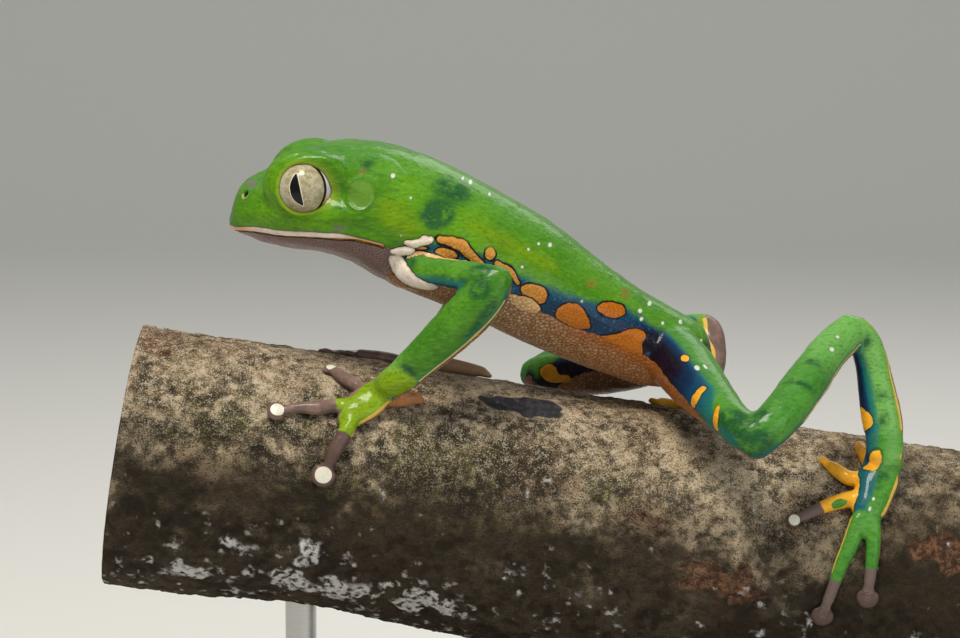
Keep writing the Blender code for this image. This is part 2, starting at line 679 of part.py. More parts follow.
def stand(branch_piece):
    """The flat base and the two rods, and the small flats under the branch that the rods meet."""
    mesh = bpy.data.meshes.new("stand_base")
    bm = bmesh.new()
    outline = []
    for sx, sy, start in ((1, 1, 0), (-1, 1, 90), (-1, -1, 180), (1, -1, 270)):
        for k in range(7):
            turn = math.radians(start + 15 * k)
            x = sx * (BASE_LENGTH / 2 - BASE_CORNER) + BASE_CORNER * math.cos(turn)
            y = sy * (BASE_WIDTH / 2 - BASE_CORNER) + BASE_CORNER * math.sin(turn)
            outline.append((x, y))
    levels = (
        (0.0, 0.0),
        (BASE_HEIGHT - BASE_EDGE, 0.0),
        (BASE_HEIGHT - BASE_EDGE * 0.3, BASE_EDGE * 0.3),
        (BASE_HEIGHT, BASE_EDGE),
    )
    loops = []
    for z, inset in levels:
        scale_x, scale_y = 1 - 2 * inset / BASE_LENGTH, 1 - 2 * inset / BASE_WIDTH
        loops.append([bm.verts.new((x * scale_x, y * scale_y, z)) for x, y in outline])
    for low, high in zip(loops, loops[1:]):
        for i in range(len(low)):
            j = (i + 1) % len(low)
            bm.faces.new((low[i], low[j], high[j], high[i]))
    bm.faces.new(reversed(loops[0]))
    bm.faces.new(loops[-1])
    bmesh.ops.recalc_face_normals(bm, faces=bm.faces)
    bm.to_mesh(mesh)
    bm.free()
    object_of("stand_base", mesh)
    for name, x in ROD_X.items():
        underside = BRANCH_HEIGHT - math.tan(BRANCH_SLOPE) * x - BRANCH_RADIUS / math.cos(BRANCH_SLOPE)
        top = underside + SEAT_DEPTH
        cylinder(name, (x, 0.0, BASE_HEIGHT + GAP), (x, 0.0, top), ROD_RADIUS)
        seat = cylinder("seat", (x, 0.0, top - BRANCH_RADIUS / 2), (x, 0.0, top + GAP), SEAT_RADIUS)
        boolean(branch_piece, "DIFFERENCE", seat)


def material(name, colour, roughness, metallic=0.0):
    """A plain surface with the colour of the real one."""
    made = bpy.data.materials.new(name)
    made.use_nodes = True
    shader = made.node_tree.nodes["Principled BSDF"]
    shader.inputs["Base Color"].default_value = (*colour, 1.0)
    shader.inputs["Roughness"].default_value = roughness
    shader.inputs["Metallic"].default_value = metallic
    made.diffuse_color = (*colour, 1.0)
    return made


def dress_all():
    """Gives each node its colour and turns millimetres into metres."""
    green = material("skin_green", (0.10, 0.32, 0.04), 0.4)
    brown = material("digit_skin", (0.28, 0.20, 0.17), 0.45)
    silver = material("eye_silver", (0.62, 0.58, 0.50), 0.1)
    bark = material("bark", (0.16, 0.13, 0.09), 0.9)
    oak = material("dark_oak", (0.08, 0.05, 0.03), 0.5)
    steel = material("steel", (0.5, 0.5, 0.5), 0.3, 1.0)
    kinds = {
        "finger": brown,
        "toe": brown,
        "eye": silver,
        "branch": bark,
        "stand_base": oak,
        "stand_rod": steel,
    }
    for obj in bpy.context.scene.objects:
        chosen = [made for start, made in kinds.items() if obj.name.startswith(start)]
        obj.data.materials.clear()
        obj.data.materials.append(chosen[0] if chosen else green)
        obj.data.transform(Matrix.Scale(MM, 4))
        obj.data.shade_smooth()
        obj.data.set_sharp_from_angle(angle=SHARP_EDGE)


def build():
    """Makes every node."""
    for obj in list(bpy.data.objects):
        bpy.data.objects.remove(obj)
    bark_grown = branch("bark_grown", grow=GAP)
    trunk_grown = trunk("trunk_grown", grow=GAP)
    head = trunk("head")
    torso = trunk("torso")
    neck_x, neck_z, neck_lean = NECK
    neck = Vector((neck_x, 0.0, neck_z))
    backward = Vector((math.cos(neck_lean), 0.0, -math.sin(neck_lean)))
    trim(head, neck - backward * (GAP / 2), backward)
    trim(torso, neck + backward * (GAP / 2), -backward)
    head_details(head)
    hands = {
        "left": limb_end("hand", "left", HAND_LEFT, FINGERS_LEFT, bark_grown),
        "right": limb_end("hand", "right", HAND_RIGHT, FINGERS_RIGHT, bark_grown),
    }
    toes_right = [mirrored_foot(rows) for rows in TOES_LEFT]
    feet = {
        "left": limb_end("foot", "left", FOOT_LEFT, TOES_LEFT, bark_grown),
        "right": limb_end("foot", "right", mirrored_foot(FOOT_LEFT), toes_right, bark_grown),
    }
    arm_rows = {
        "left": (UPPER_ARM_LEFT, FOREARM_LEFT),
        "right": (UPPER_ARM_RIGHT, FOREARM_RIGHT),
    }
    leg_rows = {
        "left": (THIGH_LEFT, SHANK_LEFT, TARSUS_LEFT),
        "right": (THIGH_RIGHT, SHANK_RIGHT, TARSUS_RIGHT),
    }
    for side in ("left", "right"):
        limb(side, ("upper_arm", "forearm"), arm_rows[side], hands[side], trunk_grown)
        limb(side, ("thigh", "shank", "tarsus"), leg_rows[side], feet[side], trunk_grown)
    stand(branch("branch"))
    bpy.data.objects.remove(bark_grown)
    bpy.data.objects.remove(trunk_grown)
    dress_all()


build()
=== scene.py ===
"""The looks of a life-size Bahia monkey frog that walks down a cut length of branch on its stand.

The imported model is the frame: every piece here takes the place of its nodes. Shapes are worked out
in millimetres, with +X from the snout to the vent, -Y on the frog's left and +Z up, and are
scaled to metres when a mesh is made.
"""

import logging
import math
from collections.abc import Sequence
from dataclasses import dataclass, field
from enum import Enum

import bpy
import numpy as np
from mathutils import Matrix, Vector
from mathutils.kdtree import KDTree


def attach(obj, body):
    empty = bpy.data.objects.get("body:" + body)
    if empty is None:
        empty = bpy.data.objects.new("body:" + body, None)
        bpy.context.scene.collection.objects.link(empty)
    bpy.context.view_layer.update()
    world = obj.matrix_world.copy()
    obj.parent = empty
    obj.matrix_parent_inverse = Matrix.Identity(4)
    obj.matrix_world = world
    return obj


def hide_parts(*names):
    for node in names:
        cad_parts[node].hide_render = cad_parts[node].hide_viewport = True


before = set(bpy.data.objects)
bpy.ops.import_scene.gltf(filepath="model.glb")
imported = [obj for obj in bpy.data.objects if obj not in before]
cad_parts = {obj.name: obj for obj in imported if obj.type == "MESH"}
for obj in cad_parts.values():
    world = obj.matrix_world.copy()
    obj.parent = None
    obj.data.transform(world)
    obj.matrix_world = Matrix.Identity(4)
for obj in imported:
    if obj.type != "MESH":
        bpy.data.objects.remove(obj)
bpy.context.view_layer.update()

logging.basicConfig(level=logging.INFO, format="%(message)s")
LOG = logging.getLogger("frog")

MM = 0.001
SEED = 20
OUTSIDE = -9.0  # far outside every marking
FAR = 9.0  # far from everything
Array = np.ndarray
Row = tuple[float, ...]


# Numbers and noise


def unit(vectors: Array) -> Array:
    """Vectors scaled to length one."""
    return vectors / np.maximum(np.linalg.norm(vectors, axis=-1, keepdims=True), 1e-9)


def step(low: float, high: float, values: Array) -> Array:
    """A smooth rise from 0 at low to 1 at high.

    Args:
        low: where the rise starts; it may lie above high, which makes a fall.
        high: where the rise ends.
        values: the places to read.

    Returns:
        One share for each value.
    """
    share = np.clip((values - low) / (high - low), 0.0, 1.0)
    return share * share * (3.0 - 2.0 * share)


def bump(distance: Array, width: float) -> Array:
    """A round bump of height one that is down to a third at one width."""
    return np.exp(-((distance / width) ** 2))


def hashed(cells: Array, seed: int) -> Array:
    """A repeatable random share for each whole-numbered cell."""
    mixed = cells[..., 0] * 374761393 + cells[..., 1] * 668265263 + cells[..., 2] * 2147483647
    mixed = (mixed + seed * 974711) & 0xFFFFFFFF
    mixed = ((mixed ^ (mixed >> 13)) * 1274126177) & 0xFFFFFFFF
    return ((mixed ^ (mixed >> 16)) & 0xFFFF) / 65535.0


def noise(points: Array, size: float, seed: int, octaves: int = 1) -> Array:
    """Smooth noise between about -1 and 1.

    Args:
        points: places, one row each.
        size: millimetres from one swell to the next.
        seed: picks the pattern.
        octaves: how many times finer and weaker noise is added.

    Returns:
        One value for each place.
    """
    total = np.zeros(len(points))
    weight, weights = 1.0, 0.0
    for octave in range(octaves):
        scaled = points / size * 2.0**octave + 57.3
        cell = np.floor(scaled).astype(np.int64)
        part = scaled - cell
        part = part**3 * (part * (part * 6 - 15) + 10)
        value = np.zeros(len(points))
        for corner in range(8):
            offset = np.array([corner & 1, corner >> 1 & 1, corner >> 2 & 1])
            share = np.where(offset, part, 1.0 - part).prod(axis=1)
            value += share * hashed(cell + offset, seed + 31 * octave)
        total += weight * (value * 2.0 - 1.0)
        weights += weight
        weight *= 0.5
    return total / weights * 1.6


def smooth_rows(rows: Sequence[Row], count: int) -> Array:
    """Rows read at even steps from a cubic curve through the given ones.

    Args:
        rows: the given rows, whose first three numbers are a place.
        count: how many rows to make.

    Returns:
        An array of count rows.
    """
    given = np.array(rows, float)
    steps = np.linalg.norm(np.diff(given[:, :3], axis=0), axis=1)
    at = np.concatenate([[0.0], np.cumsum(steps)])
    secant = np.diff(given, axis=0) / steps[:, None]
    slope = np.empty_like(given)
    slope[0], slope[-1] = secant[0], secant[-1]
    before, after = steps[:-1, None], steps[1:, None]
    slope[1:-1] = (secant[:-1] * after + secant[1:] * before) / (before + after)
    wanted = np.linspace(0.0, at[-1], count)
    span = np.clip(np.searchsorted(at, wanted, side="right") - 1, 0, len(steps) - 1)
    length = steps[span][:, None]
    t = ((wanted - at[span]) / steps[span])[:, None]
    return (
        (2 * t**3 - 3 * t**2 + 1) * given[span]
        + (t**3 - 2 * t**2 + t) * length * slope[span]
        + (-2 * t**3 + 3 * t**2) * given[span + 1]
        + (t**3 - t**2) * length * slope[span + 1]
    )


# Meshes


def tree_of(places: Array) -> KDTree:
    """A search tree over places, which it knows by their index."""
    tree = KDTree(len(places))
    for i, place in enumerate(places):
        tree.insert(place, i)
    tree.balance()
    return tree


def placed(name: str, data: bpy.types.ID) -> bpy.types.Object:
    """A new object of the scene."""
    made = bpy.data.objects.new(name, data)
    bpy.context.scene.collection.objects.link(made)
    return made


class Links:
    """Which points share an edge, for evening values out between them."""

    def __init__(self, edges: Array, count: int) -> None:
        self.ends = np.concatenate([edges[:, 0], edges[:, 1]])
        self.others = np.concatenate([edges[:, 1], edges[:, 0]])
        self.number = np.maximum(np.bincount(self.ends, minlength=count), 1)

    def mean(self, values: Array) -> Array:
        """The mean over each point's neighbours."""
        total = np.bincount(self.ends, weights=values[self.others], minlength=len(self.number))
        return total / self.number

    def spread(self, values: Array, rounds: int) -> Array:
        """Values evened out with those of the neighbours, some rounds long."""
        for _ in range(rounds):
            values = 0.5 * values + 0.5 * self.mean(values)
        return values


@dataclass
class Surface:
    """Points in millimetres and the four-cornered faces between them."""

    points: Array
    quads: Array

    def joined(self, other: "Surface") -> "Surface":
        """This surface and another one in a single set of points."""
        quads = np.concatenate([self.quads, other.quads + len(self.points)])
        return Surface(np.concatenate([self.points, other.points]), quads)

    def mesh(
        self, name: str, scale: float = 1.0, marks: dict[str, Array] | None = None
    ) -> bpy.types.Mesh:
        """A Blender mesh of the surface, shaded smooth, with marks as its attributes."""
        made = bpy.data.meshes.new(name)
        made.vertices.add(len(self.points))
        made.vertices.foreach_set("co", (self.points * scale).astype(np.float32).ravel())
        made.loops.add(self.quads.size)
        made.loops.foreach_set("vertex_index", self.quads.astype(np.int32).ravel())
        made.polygons.add(len(self.quads))
        made.polygons.foreach_set("loop_start", np.arange(0, self.quads.size, 4, dtype=np.int32))
        made.update(calc_edges=True)
        made.shade_smooth()
        for mark, values in (marks or {}).items():
            layer = made.attributes.new(mark, "FLOAT", "POINT")
            layer.data.foreach_set("value", values.astype(np.float32))
        return made

    def normals(self) -> Array:
        """The outward direction at each point."""
        a, b, c, d = (self.points[self.quads[:, i]] for i in range(4))
        across = np.cross(c - a, d - b)
        total = np.zeros_like(self.points)
        for corner, axis in np.ndindex(4, 3):
            ends, count = self.quads[:, corner], len(self.points)
            total[:, axis] += np.bincount(ends, weights=across[:, axis], minlength=count)
        return unit(total)

    def edges(self) -> Array:
        """Pairs of points that share an edge, each pair once."""
        pairs = np.concatenate([self.quads[:, [i, (i + 1) % 4]] for i in range(4)])
        pairs.sort(axis=1)
        keys = np.unique(pairs[:, 0].astype(np.int64) * len(self.points) + pairs[:, 1])
        return np.stack([keys // len(self.points), keys % len(self.points)], axis=1)

    def relax(self, rounds: int, share: Array | float = 0.5) -> None:
        """Moves each point towards the middle of its neighbours.

        Args:
            rounds: how many times.
            share: how much of the way each time, one value or one for each point.
        """
        links = Links(self.edges(), len(self.points))
        weight = share if isinstance(share, float) else share[:, None]
        for _ in range(rounds):
            middle = np.stack([links.mean(self.points[:, axis]) for axis in range(3)], axis=1)
            self.points += weight * (middle - self.points)


def lofted(rings: Array, start: Array, end: Array) -> Surface:
    """A closed surface through rings of points, which narrows to a point at each end.

    Args:
        rings: an array of ring, point round the ring, and place.
        start: the point before the first ring.
        end: the point after the last ring.

    Returns:
        The surface; its ends are fans of four-cornered faces with one short side.
    """
    count, sides, _ = rings.shape
    caps = [np.repeat(point[None, None], sides, axis=1) for point in (start, end)]
    caps[0] = caps[0] * 0.98 + rings[:1] * 0.02
    caps[1] = caps[1] * 0.98 + rings[-1:] * 0.02
    grid = np.concatenate([caps[0], rings, caps[1]])
    index = np.arange((count + 2) * sides).reshape(count + 2, sides)
    after = np.roll(index, -1, axis=1)
    quads = np.stack([index[:-1], after[:-1], after[1:], index[1:]], axis=-1).reshape(-1, 4)
    ends = []
    half = sides // 2
    for ring, flip in ((index[0], False), (index[-1], True)):
        for i in range(half - 1):
            face = [ring[i], ring[sides - 1 - i], ring[sides - 2 - i], ring[i + 1]]
            ends.append(face[::-1] if flip else face)
    return Surface(grid.reshape(-1, 3), np.concatenate([quads, np.array(ends)]))


def oriented(surface: Surface) -> Surface:
    """The surface with its faces turned outwards."""
    a, b, c, d = (surface.points[surface.quads[:, i]] for i in range(4))
    middle = surface.points.mean(axis=0)
    volume = (np.cross(c - a, d - b) * ((a + b + c + d) / 4 - middle)).sum()
    if volume < 0:
        surface.quads = surface.quads[:, ::-1]
    return surface


def ball(centre: Array, axes: Array, sides: int = 48) -> Surface:
    """A ball whose three half axes are the rows of axes."""
    down = np.linspace(0.0, math.pi, sides // 2 + 1)[1:-1]
    turn = np.linspace(0.0, 2 * math.pi, sides, endpoint=False)
    flat = np.sin(down)[:, None, None]
    rings = (
        centre
        + flat * np.cos(turn)[None, :, None] * axes[0]
        + flat * np.sin(turn)[None, :, None] * axes[1]
        + np.cos(down)[:, None, None] * axes[2]
    )
    return oriented(lofted(rings, centre + axes[2], centre - axes[2]))


# The perch, which everything the frog grips is measured on


@dataclass(frozen=True)
class Perch:
    """The branch as a straight round bar: places on it are along, round and out from its bark."""

    radius: float = 20.6
    length: float = 138.0
    slope: float = math.radians(8.92)
    height: float = 52.7

    @property
    def centre(self) -> Array:
        """The point of its axis over the origin."""
        return np.array([0.0, 0.0, self.height])

    @property
    def along(self) -> Array:
        """The direction of its axis, down towards the frog's tail end."""
        return np.array([math.cos(self.slope), 0.0, -math.sin(self.slope)])

    @property
    def upward(self) -> Array:
        """The direction out of its top."""
        return np.array([math.sin(self.slope), 0.0, math.cos(self.slope)])

    def point(self, along: Array, angle: Array, height: Array) -> Array:
        """Places at distances along it, angles round it in degrees and heights over its bark."""
        turn = np.radians(angle)
        outward = np.multiply.outer(np.cos(turn), self.upward)
        outward = outward + np.multiply.outer(np.sin(turn), np.array([0.0, -1.0, 0.0]))
        reach = np.asarray(self.radius + height)[..., None]
        return self.centre + np.multiply.outer(along, self.along) + outward * reach

    def outward(self, points: Array) -> Array:
        """The direction straight out of it at each point."""
        offset = points - self.centre
        return unit(offset - np.multiply.outer(offset @ self.along, self.along))


PERCH = Perch()


# The frog's measures, which are those of the solids


class Side(Enum):
    """The frog's two sides and the way that each lies along Y."""

    LEFT = -1.0
    RIGHT = 1.0

    @property
    def word(self) -> str:
        """The side's name, as the nodes have it."""
        return self.name.lower()


@dataclass(frozen=True)
class Section:
    """A cross-section of head or trunk: its centre, lean, half width, reach up and down, and form."""

    x: float
    z: float
    lean: float
    wide: float
    up: float
    down: float
    taper: float
    square: float


TRUNK = (
    Section(-50.6, 101.2, 0, 1.6, 1.3, 1.2, 0.10, 2.2),
    Section(-50.2, 101.6, 0, 3.6, 2.3, 2.2, 0.14, 2.3),
    Section(-49.4, 102.3, 0, 5.4, 3.6, 3.5, 0.20, 2.4),
    Section(-48.1, 102.9, 0, 7.0, 4.5, 4.6, 0.26, 2.5),
    Section(-46.4, 103.2, 0, 8.6, 5.2, 5.6, 0.30, 2.6),
    Section(-43.6, 103.6, 0, 10.6, 6.1, 6.7, 0.30, 2.7),
    Section(-40.2, 104.0, 0, 12.0, 7.3, 7.7, 0.26, 2.8),
    Section(-36.2, 104.3, 0, 12.9, 8.8, 8.5, 0.22, 2.8),
    Section(-31.6, 104.0, 2, 13.4, 9.7, 9.6, 0.20, 2.7),
    Section(-26.1, 102.2, 8, 13.2, 10.7, 10.4, 0.18, 2.5),
    Section(-19.0, 99.6, 17, 12.8, 10.5, 10.5, 0.16, 2.3),
    Section(-11.0, 95.8, 20, 12.5, 10.0, 10.0, 0.16, 2.2),
    Section(-3.0, 91.9, 22, 11.9, 9.2, 9.9, 0.18, 2.2),
    Section(5.0, 87.6, 25, 10.6, 7.5, 9.2, 0.20, 2.2),
    Section(12.2, 83.5, 25, 9.1, 6.6, 7.8, 0.18, 2.2),
    Section(18.6, 80.6, 22, 8.2, 6.0, 6.8, 0.14, 2.2),
    Section(22.6, 79.7, 16, 6.8, 4.7, 5.4, 0.10, 2.2),
    Section(24.9, 79.6, 10, 4.2, 2.9, 3.4, 0.05, 2.1),
    Section(25.7, 79.6, 10, 1.8, 1.2, 1.5, 0.05, 2.1),
)


@dataclass(frozen=True)
class Limb:
    """One length of arm or leg, and how the green of its outer side lies on it.

    A row is x, y, z, half width across the side view and half depth. Angles round the limb are
    in degrees from the crest, the middle of its green. The green runs from low to high, and a
    ridge of -1 or 1 puts a yellow line on its low or high edge.
    """

    name: str
    rows: tuple[Row, ...]
    crest: Row
    low: float
    high: float
    ridge: float = 0.0


ARM_LEFT = (
    Limb(
        "upper_arm_left",
        (
            (-23.0, -7.0, 94.0, 3.2, 3.0), (-20.6, -11.0, 93.9, 2.9, 2.8), (-16.8, -14.6, 94.0, 2.5, 2.4),
            (-12.5, -17.4, 93.8, 2.6, 2.4), (-8.6, -19.2, 93.0, 2.9, 2.5),
        ),
        (0.2, -0.7, 0.7), -75.0, 75.0,
    ),
    Limb(
        "forearm_left",
        (
            (-9.0, -19.4, 92.4, 3.0, 2.6), (-11.2, -19.2, 90.0, 3.5, 2.9), (-14.1, -18.6, 87.0, 3.55, 2.9),
            (-16.9, -17.9, 84.2, 3.3, 2.7), (-20.4, -16.8, 80.8, 2.9, 2.4), (-22.6, -15.9, 78.7, 2.7, 2.2),
            (-25.2, -14.9, 76.8, 2.5, 2.0),
        ),
        (-0.3, -1.0, 0.35), -85.0, 85.0, -1.0,
    ),
)
ARM_RIGHT = (
    Limb(
        "upper_arm_right",
        (
            (-23.5, 6.5, 93.6, 3.2, 3.0), (-20.6, 12.0, 92.2, 2.9, 2.8), (-15.4, 18.2, 90.6, 2.5, 2.5),
            (-9.8, 24.0, 89.8, 2.8, 2.6),
        ),
        (-0.2, 0.5, 0.8), -75.0, 75.0,
    ),
    Limb(
        "forearm_right",
        (
            (-9.9, 24.2, 89.4, 2.9, 2.7), (-11.6, 21.8, 87.0, 3.4, 3.0), (-14.2, 18.2, 83.6, 3.2, 2.8),
            (-16.8, 14.2, 80.6, 2.8, 2.4), (-19.6, 11.0, 77.8, 2.5, 2.0),
        ),
        (-0.3, 1.0, 0.5), -85.0, 85.0, -1.0,
    ),
)
LEG_LEFT = (
    Limb(
        "thigh_left",
        (
            (17.0, -2.0, 80.6, 5.0, 4.2), (20.0, -6.5, 79.4, 4.9, 4.6), (22.7, -13.0, 76.9, 4.5, 4.5),
            (25.2, -19.2, 74.7, 3.7, 3.9), (27.7, -24.6, 72.7, 3.0, 3.3), (30.2, -28.8, 71.1, 3.1, 3.0),
        ),
        (0.75, 0.1, 0.65), -60.0, 75.0,
    ),
    Limb(
        "shank_left",
        (
            (30.9, -29.2, 70.7, 3.2, 3.0), (33.1, -28.3, 72.3, 3.2, 3.3), (35.5, -26.2, 74.3, 3.25, 3.6),
            (37.6, -23.6, 76.4, 3.35, 3.6), (39.9, -20.8, 78.8, 3.25, 3.3), (42.0, -18.0, 81.0, 3.1, 3.0),
            (44.3, -15.0, 82.9, 3.0, 2.7), (47.0, -12.4, 84.7, 2.8, 2.5),
        ),
        (-0.2, -0.9, 0.35), -95.0, 85.0, 1.0,
    ),
    Limb(
        "tarsus_left",
        (
            (47.7, -11.8, 84.7, 2.5, 2.4), (49.1, -11.2, 83.2, 2.5, 2.4), (50.3, -11.2, 80.2, 2.6, 2.2),
            (51.1, -11.6, 76.4, 2.85, 2.1), (51.9, -12.4, 72.0, 3.15, 2.1), (52.4, -13.4, 68.4, 3.1, 2.1),
            (52.5, -14.4, 65.6, 3.1, 1.9),
        ),
        (0.35, -0.95, 0.1), -47.0, 56.0, -1.0,
    ),
)
LEG_RIGHT = (
    Limb(
        "thigh_right",
        (
            (18.5, 2.5, 79.6, 4.6, 4.2), (15.6, 8.0, 77.4, 4.5, 4.4), (10.4, 13.4, 75.0, 4.2, 4.2),
            (4.4, 17.8, 73.4, 3.7, 3.7), (-0.8, 20.8, 72.7, 3.1, 3.1),
        ),
        (0.3, 0.4, 0.85), -60.0, 60.0,
    ),
    Limb(
        "shank_right",
        (
            (-1.3, 21.2, 72.7, 3.0, 3.1), (1.6, 23.0, 73.6, 3.2, 3.4), (8.0, 24.0, 75.4, 3.4, 3.5),
            (14.0, 23.2, 77.2, 3.2, 3.2), (20.5, 21.2, 79.2, 2.9, 2.8), (25.8, 18.8, 80.8, 2.6, 2.6),
        ),
        (-0.1, 0.85, 0.5), -85.0, 85.0, 1.0,
    ),
    Limb(
        "tarsus_right",
        (
            (26.2, 18.4, 80.9, 2.5, 2.5), (26.6, 17.0, 80.0, 2.6, 2.4), (26.6, 14.6, 77.4, 2.9, 2.2),
            (26.0, 11.6, 74.4, 3.1, 2.1), (25.4, 9.2, 72.2, 3.1, 1.9),
        ),
        (0.5, 0.75, -0.3), -50.0, 56.0, -1.0,
    ),
)

# Hand and foot rows are distance along the branch, angle round it, half width, half thickness and lift
HAND_LEFT = (
    (-27.6, 31.5, 2.5, 1.9, 0.9), (-29.6, 35.5, 2.7, 1.8, 0.3), (-31.6, 41.5, 2.9, 1.6, 0.0),
    (-33.2, 47.0, 2.6, 1.4, 0.0), (-34.0, 51.5, 1.9, 1.2, 0.0),
)
FINGERS_LEFT = (
    ((-30.2, 37.5, 1.6, 1.4, 0.1), (-26.8, 36.5, 1.35, 1.25, 0.1), (-23.8, 33.5, 1.1, 1.0, 0.0)),
    (
        (-31.4, 36.0, 1.3, 1.2, 0.1), (-34.2, 31.4, 1.05, 1.05, 0.1), (-36.0, 27.6, 1.05, 1.0, 0.1),
        (-38.0, 22.0, 0.9, 0.85, 0.0),
    ),
    (
        (-33.0, 44.0, 1.4, 1.3, 0.1), (-36.5, 45.0, 1.1, 1.1, 0.1), (-39.0, 47.4, 1.2, 1.1, 0.1),
        (-42.2, 48.6, 0.85, 0.85, 0.1), (-45.2, 51.4, 0.8, 0.8, 0.0),
    ),
    (
        (-33.6, 51.0, 1.5, 1.3, 0.1), (-34.4, 59.0, 1.25, 1.15, 0.1), (-35.2, 64.4, 1.2, 1.1, 0.1),
        (-35.8, 70.2, 0.95, 0.9, 0.1), (-36.5, 76.0, 0.9, 0.8, 0.0),
    ),
)
HAND_RIGHT = (
    (-22.4, -25.0, 2.4, 1.9, 1.4), (-24.4, -26.0, 2.7, 1.7, 0.3), (-26.6, -28.0, 2.8, 1.5, 0.0),
    (-28.4, -31.0, 1.9, 1.2, 0.0),
)
FINGERS_RIGHT = (
    (
        (-23.2, -24.0, 1.6, 1.4, 0.1), (-19.6, -17.0, 1.5, 1.3, 0.1), (-16.4, -12.5, 1.2, 1.1, 0.1),
        (-13.6, -8.5, 1.05, 0.95, 0.0),
    ),
    ((-26.2, -24.0, 1.3, 1.2, 0.1), (-30.6, -18.5, 1.1, 1.05, 0.1), (-35.4, -14.5, 0.85, 0.85, 0.0)),
    (
        (-27.8, -28.5, 1.4, 1.3, 0.1), (-32.0, -27.0, 1.15, 1.1, 0.1), (-36.0, -25.0, 0.95, 0.95, 0.1),
        (-39.4, -22.4, 0.85, 0.8, 0.0),
    ),
    (
        (-27.6, -32.0, 1.4, 1.3, 0.1), (-29.6, -42.0, 1.2, 1.15, 0.1), (-31.4, -52.0, 1.1, 1.05, 0.1),
        (-33.0, -62.0, 0.9, 0.8, 0.0),
    ),
)
FOOT_LEFT = (
    (50.2, 31.5, 3.1, 1.9, 1.2), (49.8, 36.5, 3.2, 1.9, 0.7), (49.2, 43.5, 3.3, 1.8, 0.2),
    (48.7, 50.5, 3.0, 1.7, 0.0), (48.1, 58.0, 2.5, 1.5, 0.0), (47.8, 63.5, 1.8, 1.2, 0.0),
)
TOES_LEFT = (
    ((48.6, 34.0, 1.3, 1.2, 0.1), (47.2, 24.0, 1.1, 1.05, 0.1), (46.6, 15.5, 0.9, 0.85, 0.0)),
    (
        (48.0, 41.0, 1.4, 1.2, 0.1), (44.6, 41.2, 1.15, 1.1, 0.1), (42.8, 37.6, 1.0, 0.95, 0.1),
        (41.0, 33.6, 0.8, 0.75, 0.0),
    ),
    (
        (47.6, 50.0, 1.5, 1.3, 0.1), (44.6, 52.4, 1.2, 1.1, 0.1), (41.8, 56.0, 1.0, 1.0, 0.1),
        (39.2, 60.4, 0.85, 0.85, 0.1), (36.9, 64.6, 0.75, 0.75, 0.0),
    ),
    (
        (47.0, 60.0, 1.5, 1.4, 0.1), (46.0, 71.0, 1.35, 1.25, 0.1), (45.0, 80.5, 1.15, 1.1, 0.1),
        (44.3, 91.0, 0.9, 0.9, 0.1), (43.6, 103.0, 0.9, 0.8, 0.0),
    ),
    (
        (49.0, 60.0, 1.4, 1.3, 0.1), (49.6, 70.0, 1.15, 1.1, 0.1), (49.8, 81.5, 0.95, 0.95, 0.1),
        (50.0, 92.0, 0.9, 0.8, 0.0),
    ),
)
FOOT_SHIFT = (-26.6, 15.0)
DISC_RADII = {"finger": (1.3, 1.35, 1.65, 2.0), "toe": (1.0, 1.0, 1.2, 1.8, 1.8)}


@dataclass
class Tube:
    """A round length that stays with its surface: its middle line, radii and outward direction."""

    name: str
    rows: Array
    deep: Array
    limb: Limb | None = None
    disc: float = 0.0

    @property
    def length(self) -> float:
        """How long the middle line is."""
        return np.linalg.norm(np.diff(self.rows[:, :3], axis=0), axis=1).sum()

    @property
    def ahead(self) -> Array:
        """The direction of the middle line at each row."""
        places = self.rows[:, :3]
        after = np.concatenate([places[1:], places[-1:]])
        before = np.concatenate([places[:1], places[:-1]])
        return unit(after - before)

    def surface(self, sides: int = 40, caps: int = 7) -> Surface:
        """The tube with rounded ends."""
        places, ahead = self.rows[:, :3], self.ahead
        deep = unit(self.deep - ahead * (self.deep * ahead).sum(axis=1, keepdims=True))
        wide = np.cross(ahead, deep)
        turn = np.linspace(0.0, 2 * math.pi, sides, endpoint=False)
        rings = (
            places[:, None]
            + wide[:, None] * (self.rows[:, 3, None] * np.cos(turn))[..., None]
            + deep[:, None] * (self.rows[:, 4, None] * np.sin(turn))[..., None]
        )
        bends = np.linspace(0.0, math.pi / 2, caps + 1)[1:-1]
        ends = []
        for row, way in ((0, -1.0), (-1, 1.0)):
            reach = self.rows[row, 3:5].mean()
            inward, onward = rings[row] - places[row], ahead[row] * way * reach
            cap = [places[row] + inward * math.cos(bend) + onward * math.sin(bend) for bend in bends]
            ends.append(np.array(cap))
        rings = np.concatenate([ends[0][::-1], rings, ends[1]])
        start = places[0] - ahead[0] * self.rows[0, 3:5].mean()
        end = places[-1] + ahead[-1] * self.rows[-1, 3:5].mean()
        return oriented(lofted(rings, start, end))


def trunk_rows(count: int) -> Array:
    """Head and trunk sections as plain rows, read from a smooth curve through the named ones."""
    rows = [(s.x, 0.0, s.z, s.lean, s.wide, s.up, s.down, s.taper, s.square) for s in TRUNK]
    return np.delete(smooth_rows(rows, count), 1, axis=1)


